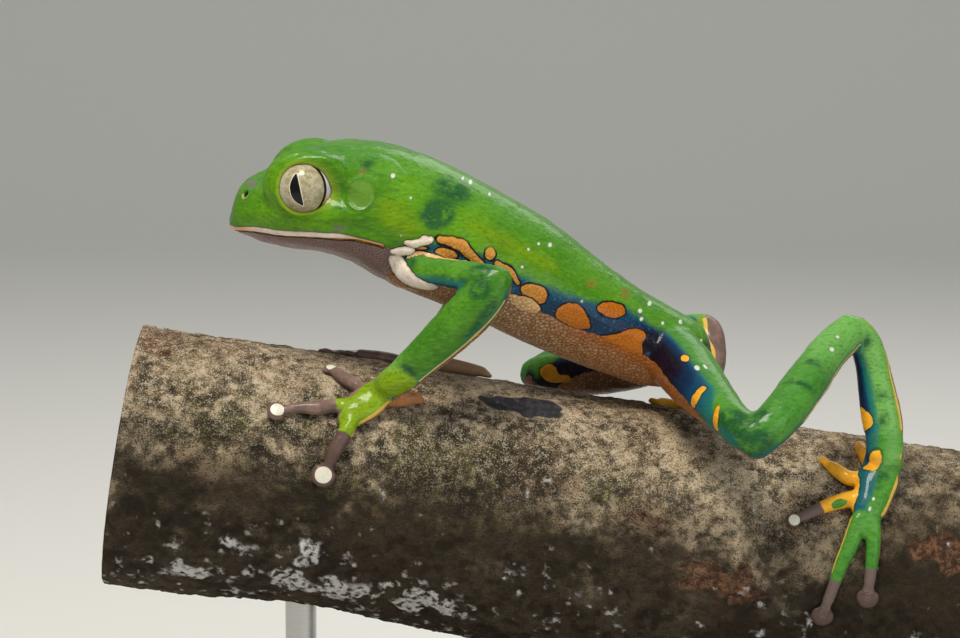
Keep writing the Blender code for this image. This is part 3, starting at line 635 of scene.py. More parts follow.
def trunk_surface(rings: int = 240, sides: int = 160) -> Surface:
    """Head and trunk as one closed loft."""
    rows = trunk_rows(rings)[:, :, None]
    x, z, lean, wide, up, down, taper, square = (rows[:, i] for i in range(8))
    turn = np.linspace(0.0, 2 * math.pi, sides, endpoint=False)[None]
    c, s = np.cos(turn), np.sin(turn)
    power = 2.0 / np.where(s > 0, square, 2.1)
    across = wide * np.sign(c) * np.abs(c) ** power
    reach = np.where(s > 0, up, down)
    rise = reach * np.sign(s) * np.abs(s) ** power
    across = across * np.where(s > 0, 1.0 - taper * rise / reach, 1.0)
    tilt = np.radians(lean)
    ring = np.stack([x + rise * np.sin(tilt), across, z + rise * np.cos(tilt)], axis=-1)
    first, last = TRUNK[0], TRUNK[-1]
    start, end = np.array([first.x - 0.3, 0.0, first.z]), np.array([last.x + 0.3, 0.0, last.z])
    return oriented(lofted(ring, start, end))


NECK_ROUNDS = 64
SOFT_PLACES = (
    (16.5, -7.0, 81.5, 7.0), (16.5, 7.0, 79.0, 6.0), (-25.0, -15.4, 77.0, 4.2), (-20.5, 10.5, 77.2, 4.0),
    (52.0, -14.4, 66.0, 3.6),
)
VOXEL = 0.2
DISC_THICKNESS = 0.8
SOLE_SINK = 0.15
MOUTH_LINE = (
    (-53.0, 99.5), (-46.7, 99.75), (-41.3, 99.4), (-33.4, 99.2), (-30.3, 99.1), (-26.9, 98.3),
    (-25.6, 97.9),
)
NOSTRIL = (-47.9, -5.4, 105.6)
EARDRUM = (-29.6, 106.3)
EARDRUM_RADII = (2.05, 2.35)
IRIS_FORWARD = math.radians(17.0)


def on_bark(rows: Sequence[Row]) -> list[Row]:
    """Hand or foot rows turned into tube rows that rest on the branch."""
    made = []
    for along, angle, wide, thick, lift in rows:
        place = PERCH.point(along, angle, thick + lift - SOLE_SINK)
        made.append((*place, wide, thick))
    return made


def mirrored_foot(rows: Sequence[Row]) -> tuple[Row, ...]:
    """Rows of the left foot, moved to the far side of the branch."""
    shift, turn = FOOT_SHIFT
    return tuple((along + shift, turn - angle, *rest) for along, angle, *rest in rows)


class Kind(Enum):
    """What a stretch of skin belongs to."""

    TRUNK = 0
    LIMB = 1
    PALM = 2
    DIGIT = 3
    DISC = 4
    LID = 5


@dataclass
class Piece:
    """A source shape of the skin."""

    name: str
    kind: Kind
    surface: Surface
    tube: Tube | None = None
    side: Side = Side.LEFT


@dataclass(frozen=True)
class EyeShape:
    """The eyeball and the opening of the lids over it, on the left side."""

    centre: Row = (-38.5, -9.4, 106.9)
    radius: float = 4.7
    forward: float = math.radians(4.0)
    rise: float = 0.06
    lid_radii: Row = (7.2, 5.7, 4.9)
    lid_shift: Row = (0.7, 0.0, 0.6)
    margin: float = 4.98
    bowl: float = 4.3

    def place(self, side: Side) -> Array:
        """The centre of the eyeball on one side."""
        x, y, z = self.centre
        return np.array([x, -y * side.value, z])

    def axes(self, side: Side, forward: float | None = None) -> Array:
        """Rows for the directions forward, up and out along the gaze."""
        turn = self.forward if forward is None else forward
        gaze = unit(np.array([-math.sin(turn), side.value * math.cos(turn), self.rise]))
        up = unit(np.array([0.0, 0.0, 1.0]) - gaze * gaze[2])
        ahead = np.cross(up, gaze)
        ahead = ahead if ahead[0] < 0 else -ahead
        return np.stack([ahead, up, gaze])


EYE = EyeShape()


def source_pieces() -> list[Piece]:
    """Every shape that the skin is made of, in the frog's pose."""
    made = [Piece("trunk", Kind.TRUNK, trunk_surface())]
    level = np.array([0.0, 1.0, 0.0])
    hands = {
        Side.LEFT: (HAND_LEFT, FINGERS_LEFT, FOOT_LEFT, TOES_LEFT),
        Side.RIGHT: (
            HAND_RIGHT,
            FINGERS_RIGHT,
            mirrored_foot(FOOT_LEFT),
            tuple(mirrored_foot(rows) for rows in TOES_LEFT),
        ),
    }
    limbs = {Side.LEFT: (ARM_LEFT, LEG_LEFT), Side.RIGHT: (ARM_RIGHT, LEG_RIGHT)}
    for side in Side:
        hand, fingers, foot, toes = hands[side]
        for lengths, palm, digits, word in (
            (limbs[side][0], hand, fingers, "finger"),
            (limbs[side][1], foot, toes, "toe"),
        ):
            for limb in lengths:
                rows = smooth_rows(limb.rows, 44)
                tube = Tube(limb.name, rows, np.broadcast_to(level, (44, 3)), limb)
                made.append(Piece(limb.name, Kind.LIMB, tube.surface(), tube, side))
            palm_rows = on_bark(palm)
            end = lengths[-1]
            for name, given in (
                (f"{word}_palm_{side.word}", palm_rows),
                (f"{word}_joint_{side.word}", [*end.rows[-2:], *palm_rows[:2]]),
            ):
                rows = smooth_rows(given, 28)
                tube = Tube(name, rows, PERCH.outward(rows[:, :3]))
                made.append(Piece(name, Kind.PALM, tube.surface(), tube, side))
            for number, digit in enumerate(digits, start=1):
                name = f"{word}_{number}_{side.word}"
                rows = smooth_rows(on_bark(digit), 36)
                radius = DISC_RADII[word][number - 1]
                tube = Tube(name, rows, PERCH.outward(rows[:, :3]), disc=radius)
                made.append(Piece(name, Kind.DIGIT, tube.surface(28), tube, side))
                along, angle, *_ = digit[-1]
                centre = PERCH.point(along, angle, DISC_THICKNESS - SOLE_SINK)
                up, onward = PERCH.outward(centre[None])[0], PERCH.along * radius
                axes = np.stack([onward, np.cross(up, onward), up * DISC_THICKNESS])
                made.append(Piece(f"{name}_disc", Kind.DISC, ball(centre, axes, 36), tube, side))
        centre = EYE.place(side) + np.array(EYE.lid_shift)
        axes = EYE.axes(side) * np.array(EYE.lid_radii)[:, None]
        made.append(Piece(f"lid_{side.word}", Kind.LID, ball(centre, axes, 96), side=side))
    return made


def remeshed(pieces: Sequence[Piece], voxel: float) -> Surface:
    """One closed surface round all the pieces, with faces of about voxel millimetres."""
    whole = pieces[0].surface
    for piece in pieces[1:]:
        whole = whole.joined(piece.surface)
    holder = placed("source", whole.mesh("source"))
    modifier = holder.modifiers.new("one_skin", "REMESH")
    modifier.mode = "VOXEL"
    modifier.voxel_size = voxel
    graph = bpy.context.evaluated_depsgraph_get()
    mesh = bpy.data.meshes.new_from_object(holder.evaluated_get(graph))
    points = np.empty(len(mesh.vertices) * 3, np.float32)
    mesh.vertices.foreach_get("co", points)
    corners = np.empty(len(mesh.loops), np.int32)
    mesh.loops.foreach_get("vertex_index", corners)
    source = holder.data
    bpy.data.objects.remove(holder)
    bpy.data.meshes.remove(source)
    quads = corners.reshape(-1, 4).astype(np.int64)
    bpy.data.meshes.remove(mesh)
    return Surface(points.reshape(-1, 3).astype(float), quads)


@dataclass
class Skin:
    """The frog's whole skin as one surface, with what each point of it belongs to."""

    pieces: list[Piece] = field(default_factory=source_pieces)
    surface: Surface = field(init=False)
    owner: Array = field(init=False)
    kind: Array = field(init=False)
    marks: dict[str, Array] = field(default_factory=dict)
    joins: tuple[Array, Links] | None = None

    def __post_init__(self) -> None:
        self.surface = remeshed(self.pieces, VOXEL)
        self.surface.relax(3)
        self.find_owners()
        self.soften_joins()
        LOG.info("skin: %d points, %d faces", len(self.points), len(self.surface.quads))

    @property
    def points(self) -> Array:
        """The skin's points in millimetres."""
        return self.surface.points

    @property
    def body(self) -> Array:
        """Which points belong to the head, lids and trunk."""
        return np.flatnonzero(np.isin(self.kind, (Kind.TRUNK.value, Kind.LID.value)))

    def find_owners(self) -> None:
        """Gives each point the piece whose source shape lies nearest."""
        sources = np.concatenate([piece.surface.points for piece in self.pieces])
        sizes = [len(piece.surface.points) for piece in self.pieces]
        owners = np.repeat(np.arange(len(self.pieces)), sizes)
        tree = tree_of(sources)
        self.owner = owners[np.array([tree.find(place)[1] for place in self.points])]
        kinds = np.array([piece.kind.value for piece in self.pieces])
        self.kind = kinds[self.owner]

    def soften_joins(self) -> None:
        """Rounds the creases where the shapes meet, most of all at the shoulders and hips."""
        edges = self.surface.edges()
        split = self.owner[edges[:, 0]] != self.owner[edges[:, 1]]
        near = np.zeros(len(self.points))
        near[edges[split].ravel()] = 1.0
        near = Links(edges, len(near)).spread(near, 16)
        for *middle, reach in SOFT_PLACES:
            away = np.linalg.norm(self.points - np.array(middle), axis=1)
            near = np.maximum(near, 0.3 * step(reach, 0.5 * reach, away))
        self.surface.relax(NECK_ROUNDS, np.clip(near * 3.0, 0.0, 0.8))

    def blended(self, values: Array, rounds: int = 14) -> Array:
        """Values evened out across the joins, and kept as they are elsewhere."""
        if self.joins is None:
            edges = self.surface.edges()
            group = np.where(self.kind == Kind.LID.value, 0, self.owner)
            group = np.where(self.kind == Kind.DISC.value, self.owner - 1, group)
            split = group[edges[:, 0]] != group[edges[:, 1]]
            near = np.zeros(len(self.points))
            near[edges[split].ravel()] = 1.0
            near = np.clip(Links(edges, len(near)).spread(near, 8) * 2.0, 0.0, 0.9)
            picked = (near[edges] > 0.01).any(axis=1)
            self.joins = (near, Links(edges[picked], len(near)))
        near, links = self.joins
        for _ in range(rounds):
            values = values + near * (links.mean(values) - values)
        return values

    def open_eyes(self) -> None:
        """Draws the lids back from the eyeballs, with a rim round each opening."""
        for side in Side:
            offset = self.points - EYE.place(side)
            reach = np.linalg.norm(offset, axis=1)
            picked = np.flatnonzero((reach < 14.0) & (offset[:, 1] * side.value > -1.0))
            ahead, up, gaze = (offset[picked] @ axis for axis in EYE.axes(side))
            away = np.degrees(np.arctan2(np.hypot(ahead, up), gaze))
            turn = np.arctan2(up, ahead)
            edge = lid_edge(turn)
            outside = step(0.0, 3.0, away - edge)
            spread = 14.0 - 6.0 * step(0.2, 0.9, -np.cos(turn))
            blend = step(0.0, 1.0, (away - edge - 2.0) / spread)
            rim = EYE.margin + 0.38 * bump(away - edge - 7.5, 5.2)
            raised = rim + (np.maximum(reach[picked], EYE.margin) - rim) * blend
            raised -= 0.28 * bump(away - edge - 18.0, 3.4) * step(0.3, -0.3, np.sin(turn))
            wanted = EYE.bowl + (raised - EYE.bowl) * outside
            self.points[picked] = EYE.place(side) + unit(offset[picked]) * wanted[:, None]
            # The distance from the lids' edge, for the rim's colour and the painted shadow line along the
            # edge
            rims = self.marks.setdefault("rim", np.full(len(self.points), FAR))
            rims[picked] = np.where(wanted < 6.6, np.radians(away - edge) * EYE.radius, FAR)


def lid_edge(turn: Array) -> Array:
    """How many degrees off the gaze the lids' edge lies, for a turn from forward through up."""
    front, upper, rear, lower = 45.0, 54.0, 60.0, 46.5
    c, s = np.cos(turn), np.sin(turn)
    level = np.where(c > 0, front, rear)
    rise = np.where(s > 0, upper, lower)
    corner = 7.0 * bump(np.angle(np.exp(1j * (turn + math.radians(172)))), 0.3)
    return np.hypot(level * c, rise * s) + corner


# Markings, laid out in the frog's side view or along and round a limb


class Mark(Enum):
    """A layer of the skin's pattern, kept as a distance in millimetres that is positive inside."""

    BLUE = "blue"
    BELLY = "belly"
    ORANGE = "orange"
    CREAM = "cream"
    WHITE = "white"
    LINE = "line"
    DOT = "dot"
    TEAL = "teal"
    GOLD = "gold"
    SCAR = "scar"
    DIGIT = "digit"
    DISC = "disc"


@dataclass(frozen=True)
class Spot:
    """An oval marking: its middle, half length, half width and tilt in degrees.

    On the trunk u and v are x and z. On a limb u is the distance along it and v the angle round
    it, in degrees from the crest.
    """

    mark: Mark
    u: float
    v: float
    long: float
    wide: float
    tilt: float = 0.0

    def distance(self, u: Array, v: Array, stretch: Array | float) -> Array:
        """How far inside the oval each place lies, where stretch turns v into millimetres."""
        du, dv = u - self.u, (v - self.v) * stretch
        turn = math.radians(self.tilt)
        a = (du * math.cos(turn) + dv * math.sin(turn)) / self.long
        b = (dv * math.cos(turn) - du * math.sin(turn)) / self.wide
        reach = np.hypot(a, b)
        return reach * (1.0 - reach) / np.maximum(np.hypot(a / self.long, b / self.wide), 1e-6)


def from_length(u: Array, v: Array, ends: tuple[Row, Row], stretch: Array | float) -> tuple[Array, Array]:
    """How far places are from a straight length, and at what share of it they lie."""
    (ua, va, *_), (ub, vb, *_) = ends
    eu, ev = ub - ua, (vb - va) * stretch
    wu, wv = u - ua, (v - va) * stretch
    share = np.clip((wu * eu + wv * ev) / (eu * eu + ev * ev), 0.0, 1.0)
    return np.hypot(wu - share * eu, wv - share * ev), share


@dataclass(frozen=True)
class Area:
    """A marking with an outline."""

    mark: Mark
    corners: tuple[tuple[float, float], ...]
    rounds: int = 2

    def outline(self) -> list[tuple[float, float]]:
        """The corners after they are cut off some times, which rounds them."""
        line = np.array(self.corners)
        for _ in range(self.rounds):
            after = np.roll(line, -1, axis=0)
            pair = [0.78 * line + 0.22 * after, 0.22 * line + 0.78 * after]
            line = np.stack(pair, axis=1).reshape(-1, 2)
        return [tuple(place) for place in line.tolist()]

    def distance(self, u: Array, v: Array, stretch: Array | float) -> Array:
        """How far inside the outline each place lies."""
        nearest_edge = np.full(len(u), 1e9)
        inside = np.zeros(len(u), bool)
        line = self.outline()
        for (ua, va), (ub, vb) in zip(line, line[1:] + line[:1]):
            away, _ = from_length(u, v, ((ua, va), (ub, vb)), stretch)
            nearest_edge = np.minimum(nearest_edge, away)
            crosses = (va > v) != (vb > v)
            if va != vb:
                inside ^= crosses & (u < ua + (v - va) * (ub - ua) / (vb - va))
        return np.where(inside, nearest_edge, -nearest_edge)


@dataclass(frozen=True)
class Band:
    """A marking along a line whose points are u, v and the half width there."""

    mark: Mark
    line: tuple[Row, ...]

    def distance(self, u: Array, v: Array, stretch: Array | float) -> Array:
        """How far inside the band each place lies."""
        best = np.full(len(u), -1e9)
        for ends in zip(self.line, self.line[1:]):
            away, share = from_length(u, v, ends, stretch)
            best = np.maximum(best, ends[0][2] + (ends[1][2] - ends[0][2]) * share - away)
        return best


Shape = Spot | Area | Band

GREEN_EDGE = (
    (-25.2, 97.4), (-23.0, 98.2), (-19.7, 98.9), (-17.3, 98.9), (-14.6, 98.6), (-12.4, 97.5),
    (-11.0, 97.0), (-9.6, 96.8), (-8.2, 95.8), (-6.6, 94.9), (-5.2, 93.9), (-3.6, 93.0), (-1.3, 92.0),
    (2.1, 90.7), (7.0, 89.1), (11.8, 88.0), (16.2, 85.2), (20.0, 83.2), (30.0, 80.0),
)
FLANK = Area(Mark.BLUE, (*GREEN_EDGE, (30.0, 60.0), (-25.2, 60.0)), 0)
UNDERSIDE = Area(
    Mark.BELLY,
    (
        (-60.0, 99.75), *MOUTH_LINE[1:], (-24.6, 97.6), (-23.4, 95.6), (-21.0, 93.8), (-17.0, 92.8),
        (-12.0, 91.2), (-8.0, 90.4), (-6.4, 90.7), (-4.4, 90.0), (-2.4, 88.6), (-1.3, 87.4), (0.6, 86.8),
        (2.4, 85.5), (4.8, 84.7), (6.8, 84.1), (8.2, 83.6), (10.5, 83.0), (13.0, 81.4), (14.8, 80.6),
        (17.1, 79.2), (26.0, 78.0), (26.0, 60.0), (-60.0, 60.0),
    ),
    0,
)
FLANK_MARKS: tuple[Shape, ...] = (
    Band(
        Mark.ORANGE,
        (
            (-17.2, 99.2, 0.6), (-15.4, 98.9, 0.7), (-13.7, 98.2, 0.85), (-12.4, 96.7, 0.7),
            (-10.8, 95.2, 0.55),
        ),
    ),
    Spot(Mark.ORANGE, -16.3, 97.0, 1.8, 0.75, -12), Spot(Mark.ORANGE, -20.1, 97.95, 1.15, 0.3, -8),
    Area(
        Mark.CREAM,
        (
            (-22.6, 96.3), (-21.6, 97.1), (-20.4, 97.45), (-19.0, 97.1), (-17.4, 96.5), (-17.4, 95.0),
            (-22.4, 95.0),
        ),
    ),
    Band(Mark.ORANGE, ((-21.8, 91.3, 0.25), (-19.4, 91.0, 0.5), (-17.2, 91.3, 0.5), (-15.9, 91.6, 0.3))),
    Spot(Mark.ORANGE, -9.5, 97.0, 0.85, 0.95, 20),
    Band(Mark.ORANGE, ((-8.3, 95.4, 0.35), (-6.8, 94.6, 0.5), (-5.7, 93.5, 0.45), (-5.2, 92.4, 0.3))),
    Spot(Mark.ORANGE, -2.5, 90.6, 2.2, 1.45, -28),
    Area(
        Mark.ORANGE,
        (
            (0.5, 86.9), (1.3, 88.3), (2.9, 89.1), (4.6, 88.6), (5.8, 87.0), (6.5, 84.7), (4.8, 84.9),
            (2.6, 85.6),
        ),
    ),
    Spot(Mark.ORANGE, 9.7, 87.7, 2.15, 1.15, -14),
    Area(
        Mark.ORANGE,
        (
            (7.4, 83.7), (10.1, 83.7), (11.6, 84.2), (13.0, 84.7), (14.7, 84.3), (15.3, 83.2),
            (14.3, 82.0), (14.8, 80.4), (12.6, 80.8), (10.0, 82.2),
        ),
    ),
    Spot(Mark.CREAM, -4.0, 89.0, 2.5, 1.1, -25),
    Area(
        Mark.WHITE,
        (
            (-23.0, 98.6), (-22.5, 99.2), (-20.9, 99.2), (-19.7, 100.1), (-18.3, 99.5), (-18.1, 98.8),
            (-19.5, 98.2), (-21.4, 97.9),
        ),
    ),
    Spot(Mark.WHITE, -23.15, 97.35, 1.95, 0.66, 4), Spot(Mark.WHITE, -15.1, 91.1, 0.8, 0.34, -10),
    Spot(Mark.TEAL, -17.5, 103.1, 2.6, 2.2, 20), Spot(Mark.TEAL, -15.4, 106.4, 2.8, 1.4, -20),
    Spot(Mark.TEAL, -28.6, 110.6, 0.9, 0.5, 40), Spot(Mark.GOLD, -24.0, 102.6, 4.2, 2.2, -40),
    Spot(Mark.GOLD, -6.0, 98.0, 8.5, 1.4, -28), Spot(Mark.SCAR, -29.4, 109.7, 0.55, 0.35, 30),
    Spot(Mark.SCAR, 6.6, 91.7, 0.7, 0.5), Spot(Mark.SCAR, 11.9, 89.7, 0.8, 0.6),
)
CHEST_PATCH = Area(
    Mark.WHITE,
    (
        (-25.4, 96.2), (-24.6, 96.8), (-23.2, 96.5), (-22.5, 95.3), (-21.8, 94.5), (-20.9, 93.5),
        (-19.4, 92.9), (-17.3, 92.2), (-18.5, 91.2), (-21.2, 91.6), (-22.9, 92.1), (-24.2, 93.2),
        (-25.1, 94.6),
    ),
)
DOTS = (
    (-24.6, 108.9, 0.5), (-13.7, 108.0, 0.3), (-12.5, 107.4, 0.36), (-9.5, 105.5, 0.22), (-3.4, 97.4, 0.3),
    (-1.8, 98.1, 0.3), (0.0, 97.8, 0.38), (-4.4, 94.8, 0.3), (-14.0, 100.6, 0.22), (-23.3, 99.9, 0.2),
    (-21.8, 105.6, 0.2), (15.9, 88.0, 0.38), (14.3, 87.2, 0.38), (14.5, 86.0, 0.36), (17.9, 85.2, 0.34),
    (20.8, 85.1, 0.42), (24.1, 82.2, 0.3), (5.0, 89.2, 0.25),
)
LIMB_MARKS: dict[str, tuple[Shape, ...]] = {
    "upper_arm": (
        Band(
            Mark.CREAM,
            (
                (1.0, -44.0, 1.3), (4.0, -40.0, 1.25), (7.0, -42.0, 1.0), (10.0, -42.0, 0.75),
                (14.0, -38.0, 0.25),
            ),
        ),
        Spot(Mark.TEAL, 4.5, 20.0, 1.6, 1.6), Spot(Mark.TEAL, 14.0, 88.0, 5.0, 1.6),
        Spot(Mark.TEAL, 17.5, 10.0, 1.8, 1.6),
    ),
    "forearm": (
        Band(Mark.TEAL, ((1.0, -52.0, 0.6), (4.0, -66.0, 0.9), (8.0, -68.0, 0.3))),
        Spot(Mark.TEAL, 18.8, -22.0, 1.6, 1.7), Spot(Mark.TEAL, 1.0, 10.0, 1.6, 1.6),
    ),
    "thigh": (
        Spot(Mark.ORANGE, 12.6, 76.0, 0.95, 0.6, 0),
        Band(Mark.ORANGE, ((20.5, 92.0, 0.6), (20.6, 112.0, 0.8), (20.4, 134.0, 0.65))),
        Band(Mark.ORANGE, ((25.7, 98.0, 0.4), (26.3, 125.0, 0.55), (26.5, 152.0, 0.5))),
        Spot(Mark.DOT, 16.0, 70.0, 0.7, 0.35, 0), Spot(Mark.DOT, 16.2, 52.0, 0.7, 0.3, 0),
        Spot(Mark.TEAL, 30.0, 116.0, 3.4, 3.2),
    ),
    "thigh_right": (
        Area(
            Mark.ORANGE,
            (
                (25.6, 82.0), (26.8, 108.0), (25.4, 138.0), (20.6, 140.0), (20.2, 126.0), (22.8, 112.0),
                (23.6, 92.0),
            ),
        ),
        Spot(Mark.ORANGE, 11.0, 92.0, 1.2, 0.6, 30), Spot(Mark.DOT, 16.0, 64.0, 0.5, 0.35),
    ),
    "shank": (
        Band(Mark.TEAL, ((9.5, -30.0, 0.2), (10.2, 0.0, 0.55), (10.8, 40.0, 0.15))),
        Spot(Mark.TEAL, 15.4, 0.0, 0.5, 1.0), Spot(Mark.TEAL, 2.0, -30.0, 1.6, 1.6),
        Spot(Mark.TEAL, -1.0, 40.0, 2.6, 3.5), Spot(Mark.DOT, 22.5, 4.0, 0.35, 0.35),
        Spot(Mark.DOT, 19.4, 18.0, 0.42, 0.42),
    ),
    "tarsus": (
        Area(Mark.ORANGE, ((12.2, 112.0), (14.0, 70.0), (15.8, 64.0), (16.8, 80.0), (16.7, 114.0))),
        Spot(Mark.TEAL, 11.5, 8.0, 0.4, 1.0, 0), Spot(Mark.TEAL, 15.5, 20.0, 1.0, 0.8, 30),
        Spot(Mark.TEAL, 1.0, 20.0, 1.6, 1.2),
    ),
}

FOOT_MARKS: tuple[Shape, ...] = (
    Area(Mark.ORANGE, ((1.4, 12.0), (2.6, 46.0), (3.8, 78.0), (4.2, 50.0), (4.0, 26.0), (3.0, 10.0))),
    Spot(Mark.TEAL, 5.0, -10.0, 1.6, 1.0), Spot(Mark.DOT, 8.6, -2.0, 0.32, 0.32),
    Spot(Mark.DOT, 10.2, 0.0, 0.36, 0.3),
)


def around(tube: Tube, points: Array, side: Side) -> tuple[Array, Array, Array]:
    """Where places lie on a limb.

    Args:
        tube: the limb's tube.
        points: places near its surface.
        side: the frog's side, since the right limbs mirror the left ones.

    Returns:
        The distance along it, the angle from the crest in degrees and the local radius.
    """
    places, ahead = tube.rows[:, :3], tube.ahead
    steps = np.linalg.norm(np.diff(places, axis=0), axis=1)
    at = np.concatenate([[0.0], np.cumsum(steps)])
    row = np.argmin(((points[:, None] - places[None]) ** 2).sum(axis=2), axis=1)
    offset = points - places[row]
    onward = (offset * ahead[row]).sum(axis=1)
    offset = offset - onward[:, None] * ahead[row]
    if tube.limb:
        crest = np.broadcast_to(np.array(tube.limb.crest), offset.shape)
    else:
        crest = tube.deep[row]
    crest = unit(crest - ahead[row] * (crest * ahead[row]).sum(axis=1, keepdims=True))
    across = np.cross(ahead[row], crest) * -side.value
    angle = np.degrees(np.arctan2((offset * across).sum(axis=1), (offset * crest).sum(axis=1)))
    return at[row] + onward, angle, tube.rows[row, 3:5].mean(axis=1)


def mouth_height(x: Array) -> Array:
    """The height of the slit of the mouth at a place along the head."""
    given = np.array(MOUTH_LINE)
    return np.interp(x, given[:, 0], given[:, 1])


@dataclass
class Region:
    """Some points of the skin, the u and v of each, and the layers that are drawn there.

    Stretch turns v into millimetres, as with the shapes.
    """

    fields: dict[Mark, Array]
    picked: Array
    u: Array
    v: Array
    stretch: Array | float = 1.0

    def put(self, mark: Mark, values: Array | float) -> None:
        """Adds to a layer: each place keeps its largest distance."""
        self.fields[mark][self.picked] = np.maximum(self.fields[mark][self.picked], values)

    def draw(self, *shapes: Shape) -> None:
        """Adds shapes to their layers."""
        for shape in shapes:
            self.put(shape.mark, shape.distance(self.u, self.v, self.stretch))


@dataclass
class Painter:
    """Works out the skin's layers of markings, region by region."""

    skin: Skin
    heel: float = 18.0  # where along the tarsus the foot's own marks begin
    dot_share: float = 0.78  # of a wart's radius that is pale
    fields: dict[Mark, Array] = field(init=False)

    def __post_init__(self) -> None:
        self.fields = {mark: np.full(len(self.skin.points), OUTSIDE) for mark in Mark}
        self.paint_trunk()
        palms = {piece.name: piece.tube for piece in self.skin.pieces if piece.kind is Kind.PALM}
        brushes = {Kind.LIMB: self.paint_limb, Kind.PALM: self.paint_palm}
        for number, piece in enumerate(self.skin.pieces):
            picked = np.flatnonzero(self.skin.owner == number)
            if len(picked) == 0 or piece.tube is None:
                continue
            tube = palms[piece.name.replace("joint", "palm")] if piece.kind is Kind.PALM else piece.tube
            at = self.on_tube(tube, picked, piece.side)
            brushes.get(piece.kind, self.paint_digit)(piece, at)
            if piece.name.startswith("tarsus"):
                foot = palms[piece.name.replace("tarsus", "toe_palm")]
                self.on_tube(foot, picked[at.u > self.heel], piece.side).draw(FOOT_MARKS[0])
        for mark in (Mark.BLUE, Mark.BELLY, Mark.ORANGE, Mark.LINE, Mark.GOLD, Mark.DIGIT, Mark.TEAL):
            self.fields[mark] = self.skin.blended(np.clip(self.fields[mark], -1.6, 2.6))

    def in_side_view(self, picked: Array) -> Region:
        """Points placed as the frog is seen from its side."""
        return Region(self.fields, picked, self.skin.points[picked, 0], self.skin.points[picked, 2])

    def on_tube(self, tube: Tube, picked: Array, side: Side) -> Region:
        """Points placed along and round a limb or digit."""
        along, angle, radius = around(tube, self.skin.points[picked], side)
        return Region(self.fields, picked, along, angle, np.radians(1.0) * radius)

    def paint_trunk(self) -> None:
        """The head and body, alike on both sides, and the pale patch from chest to arm."""
        at = self.in_side_view(self.skin.body)
        dots = ((u, v, self.dot_share * radius) for u, v, radius in DOTS)
        at.draw(FLANK, UNDERSIDE, *FLANK_MARKS, *(Spot(Mark.DOT, u, v, r, r) for u, v, r in dots))
        x, over = at.u, at.v - mouth_height(at.u)
        half = 0.48 - 0.26 * step(-33.5, -29.5, x) - 0.1 * step(-45.0, -49.5, x)
        at.put(Mark.WHITE, half - abs(over - half - 0.04) - 2.0 * step(-26.2, -25.0, x))
        at.put(Mark.LINE, 0.2 - abs(over - 0.04) - 4.0 * step(-26.0, -25.2, x))
        roots = [i for i, piece in enumerate(self.skin.pieces) if "upper_arm" in piece.name or i == 0]
        self.in_side_view(np.flatnonzero(np.isin(self.skin.owner, roots))).draw(CHEST_PATCH)

    def paint_limb(self, piece: Piece, at: Region) -> None:
        """A length of arm or leg: green outside, blue at its edges and warm inside."""
        limb, along, angle = piece.tube.limb, at.u, at.v
        name = limb.name.rsplit("_", 1)[0]
        low = limb.low - 22.0 * step(9.0, 1.0, along) * (limb.name == "tarsus_left")
        high = limb.high + 70.0 * step(21.5, 27.5, along) * (name == "thigh")
        into_low, into_high = (low - angle) * at.stretch, (angle - high) * at.stretch
        past = np.maximum(into_low, into_high)
        if name == "tarsus":
            at.put(Mark.BLUE, into_high + 0.6)
            at.put(Mark.GOLD, into_low + 0.4)
            pad = np.maximum(into_low - 0.1, into_high - 3.6)
            if piece.side is Side.RIGHT:
                inner = (angle + 140.0 - 2.6 * (along - 0.8) + 30.0 * bump(along - 3.4, 2.0)) * at.stretch
                pad = np.where(angle < 0, np.minimum(into_low - 0.1, inner), into_high - 5.5)
                at.put(Mark.LINE, np.where(angle < 0, 0.34 - abs(inner), OUTSIDE))
            at.put(Mark.DIGIT, pad)
        else:
            at.put(Mark.BLUE, past + 0.6)
            at.put(Mark.BELLY, past - {"thigh": 4.6, "upper_arm": 0.9}.get(name, 0.55))
        if limb.ridge:
            edge = into_high if limb.ridge > 0 else into_low
            at.put(Mark.LINE, 0.2 - abs(edge) - 2.0 * step(7.0, 4.5, along) * (name == "shank"))
        if name == "forearm":
            at.put(Mark.GOLD, np.minimum(0.7 * (along - piece.tube.length + 1.8), 1.4 - 0.6 * past))
        at.draw(*LIMB_MARKS.get(limb.name, LIMB_MARKS.get(name, ())))

    def paint_palm(self, piece: Piece, at: Region) -> None:
        """The back of a hand or foot."""
        hand = piece.name.startswith("finger")
        low, high = (-80.0, 52.0) if hand else (-72.0, 62.0)
        into_low, into_high = (low - at.v) * at.stretch, (at.v - high) * at.stretch
        at.put(Mark.LINE, 0.22 - abs(into_low))
        if hand:
            at.put(Mark.GOLD, np.minimum(1.6 - 0.3 * np.maximum(into_low, into_high), 0.7 * (at.u + 1.6)))
            at.put(Mark.BELLY, into_low - 0.2)
            at.put(Mark.DIGIT, np.minimum(into_high - 0.3, 0.8 * (at.u - 0.5)))
            return
        at.put(Mark.BLUE, into_high + 1.6 + 0.8 * bump(at.u - 6.5, 2.5))
        at.put(Mark.ORANGE, into_high - 0.5 - 1.6 * step(5.6, 4.4, at.u))
        at.put(Mark.DIGIT, into_low - 0.15)
        at.draw(*FOOT_MARKS)

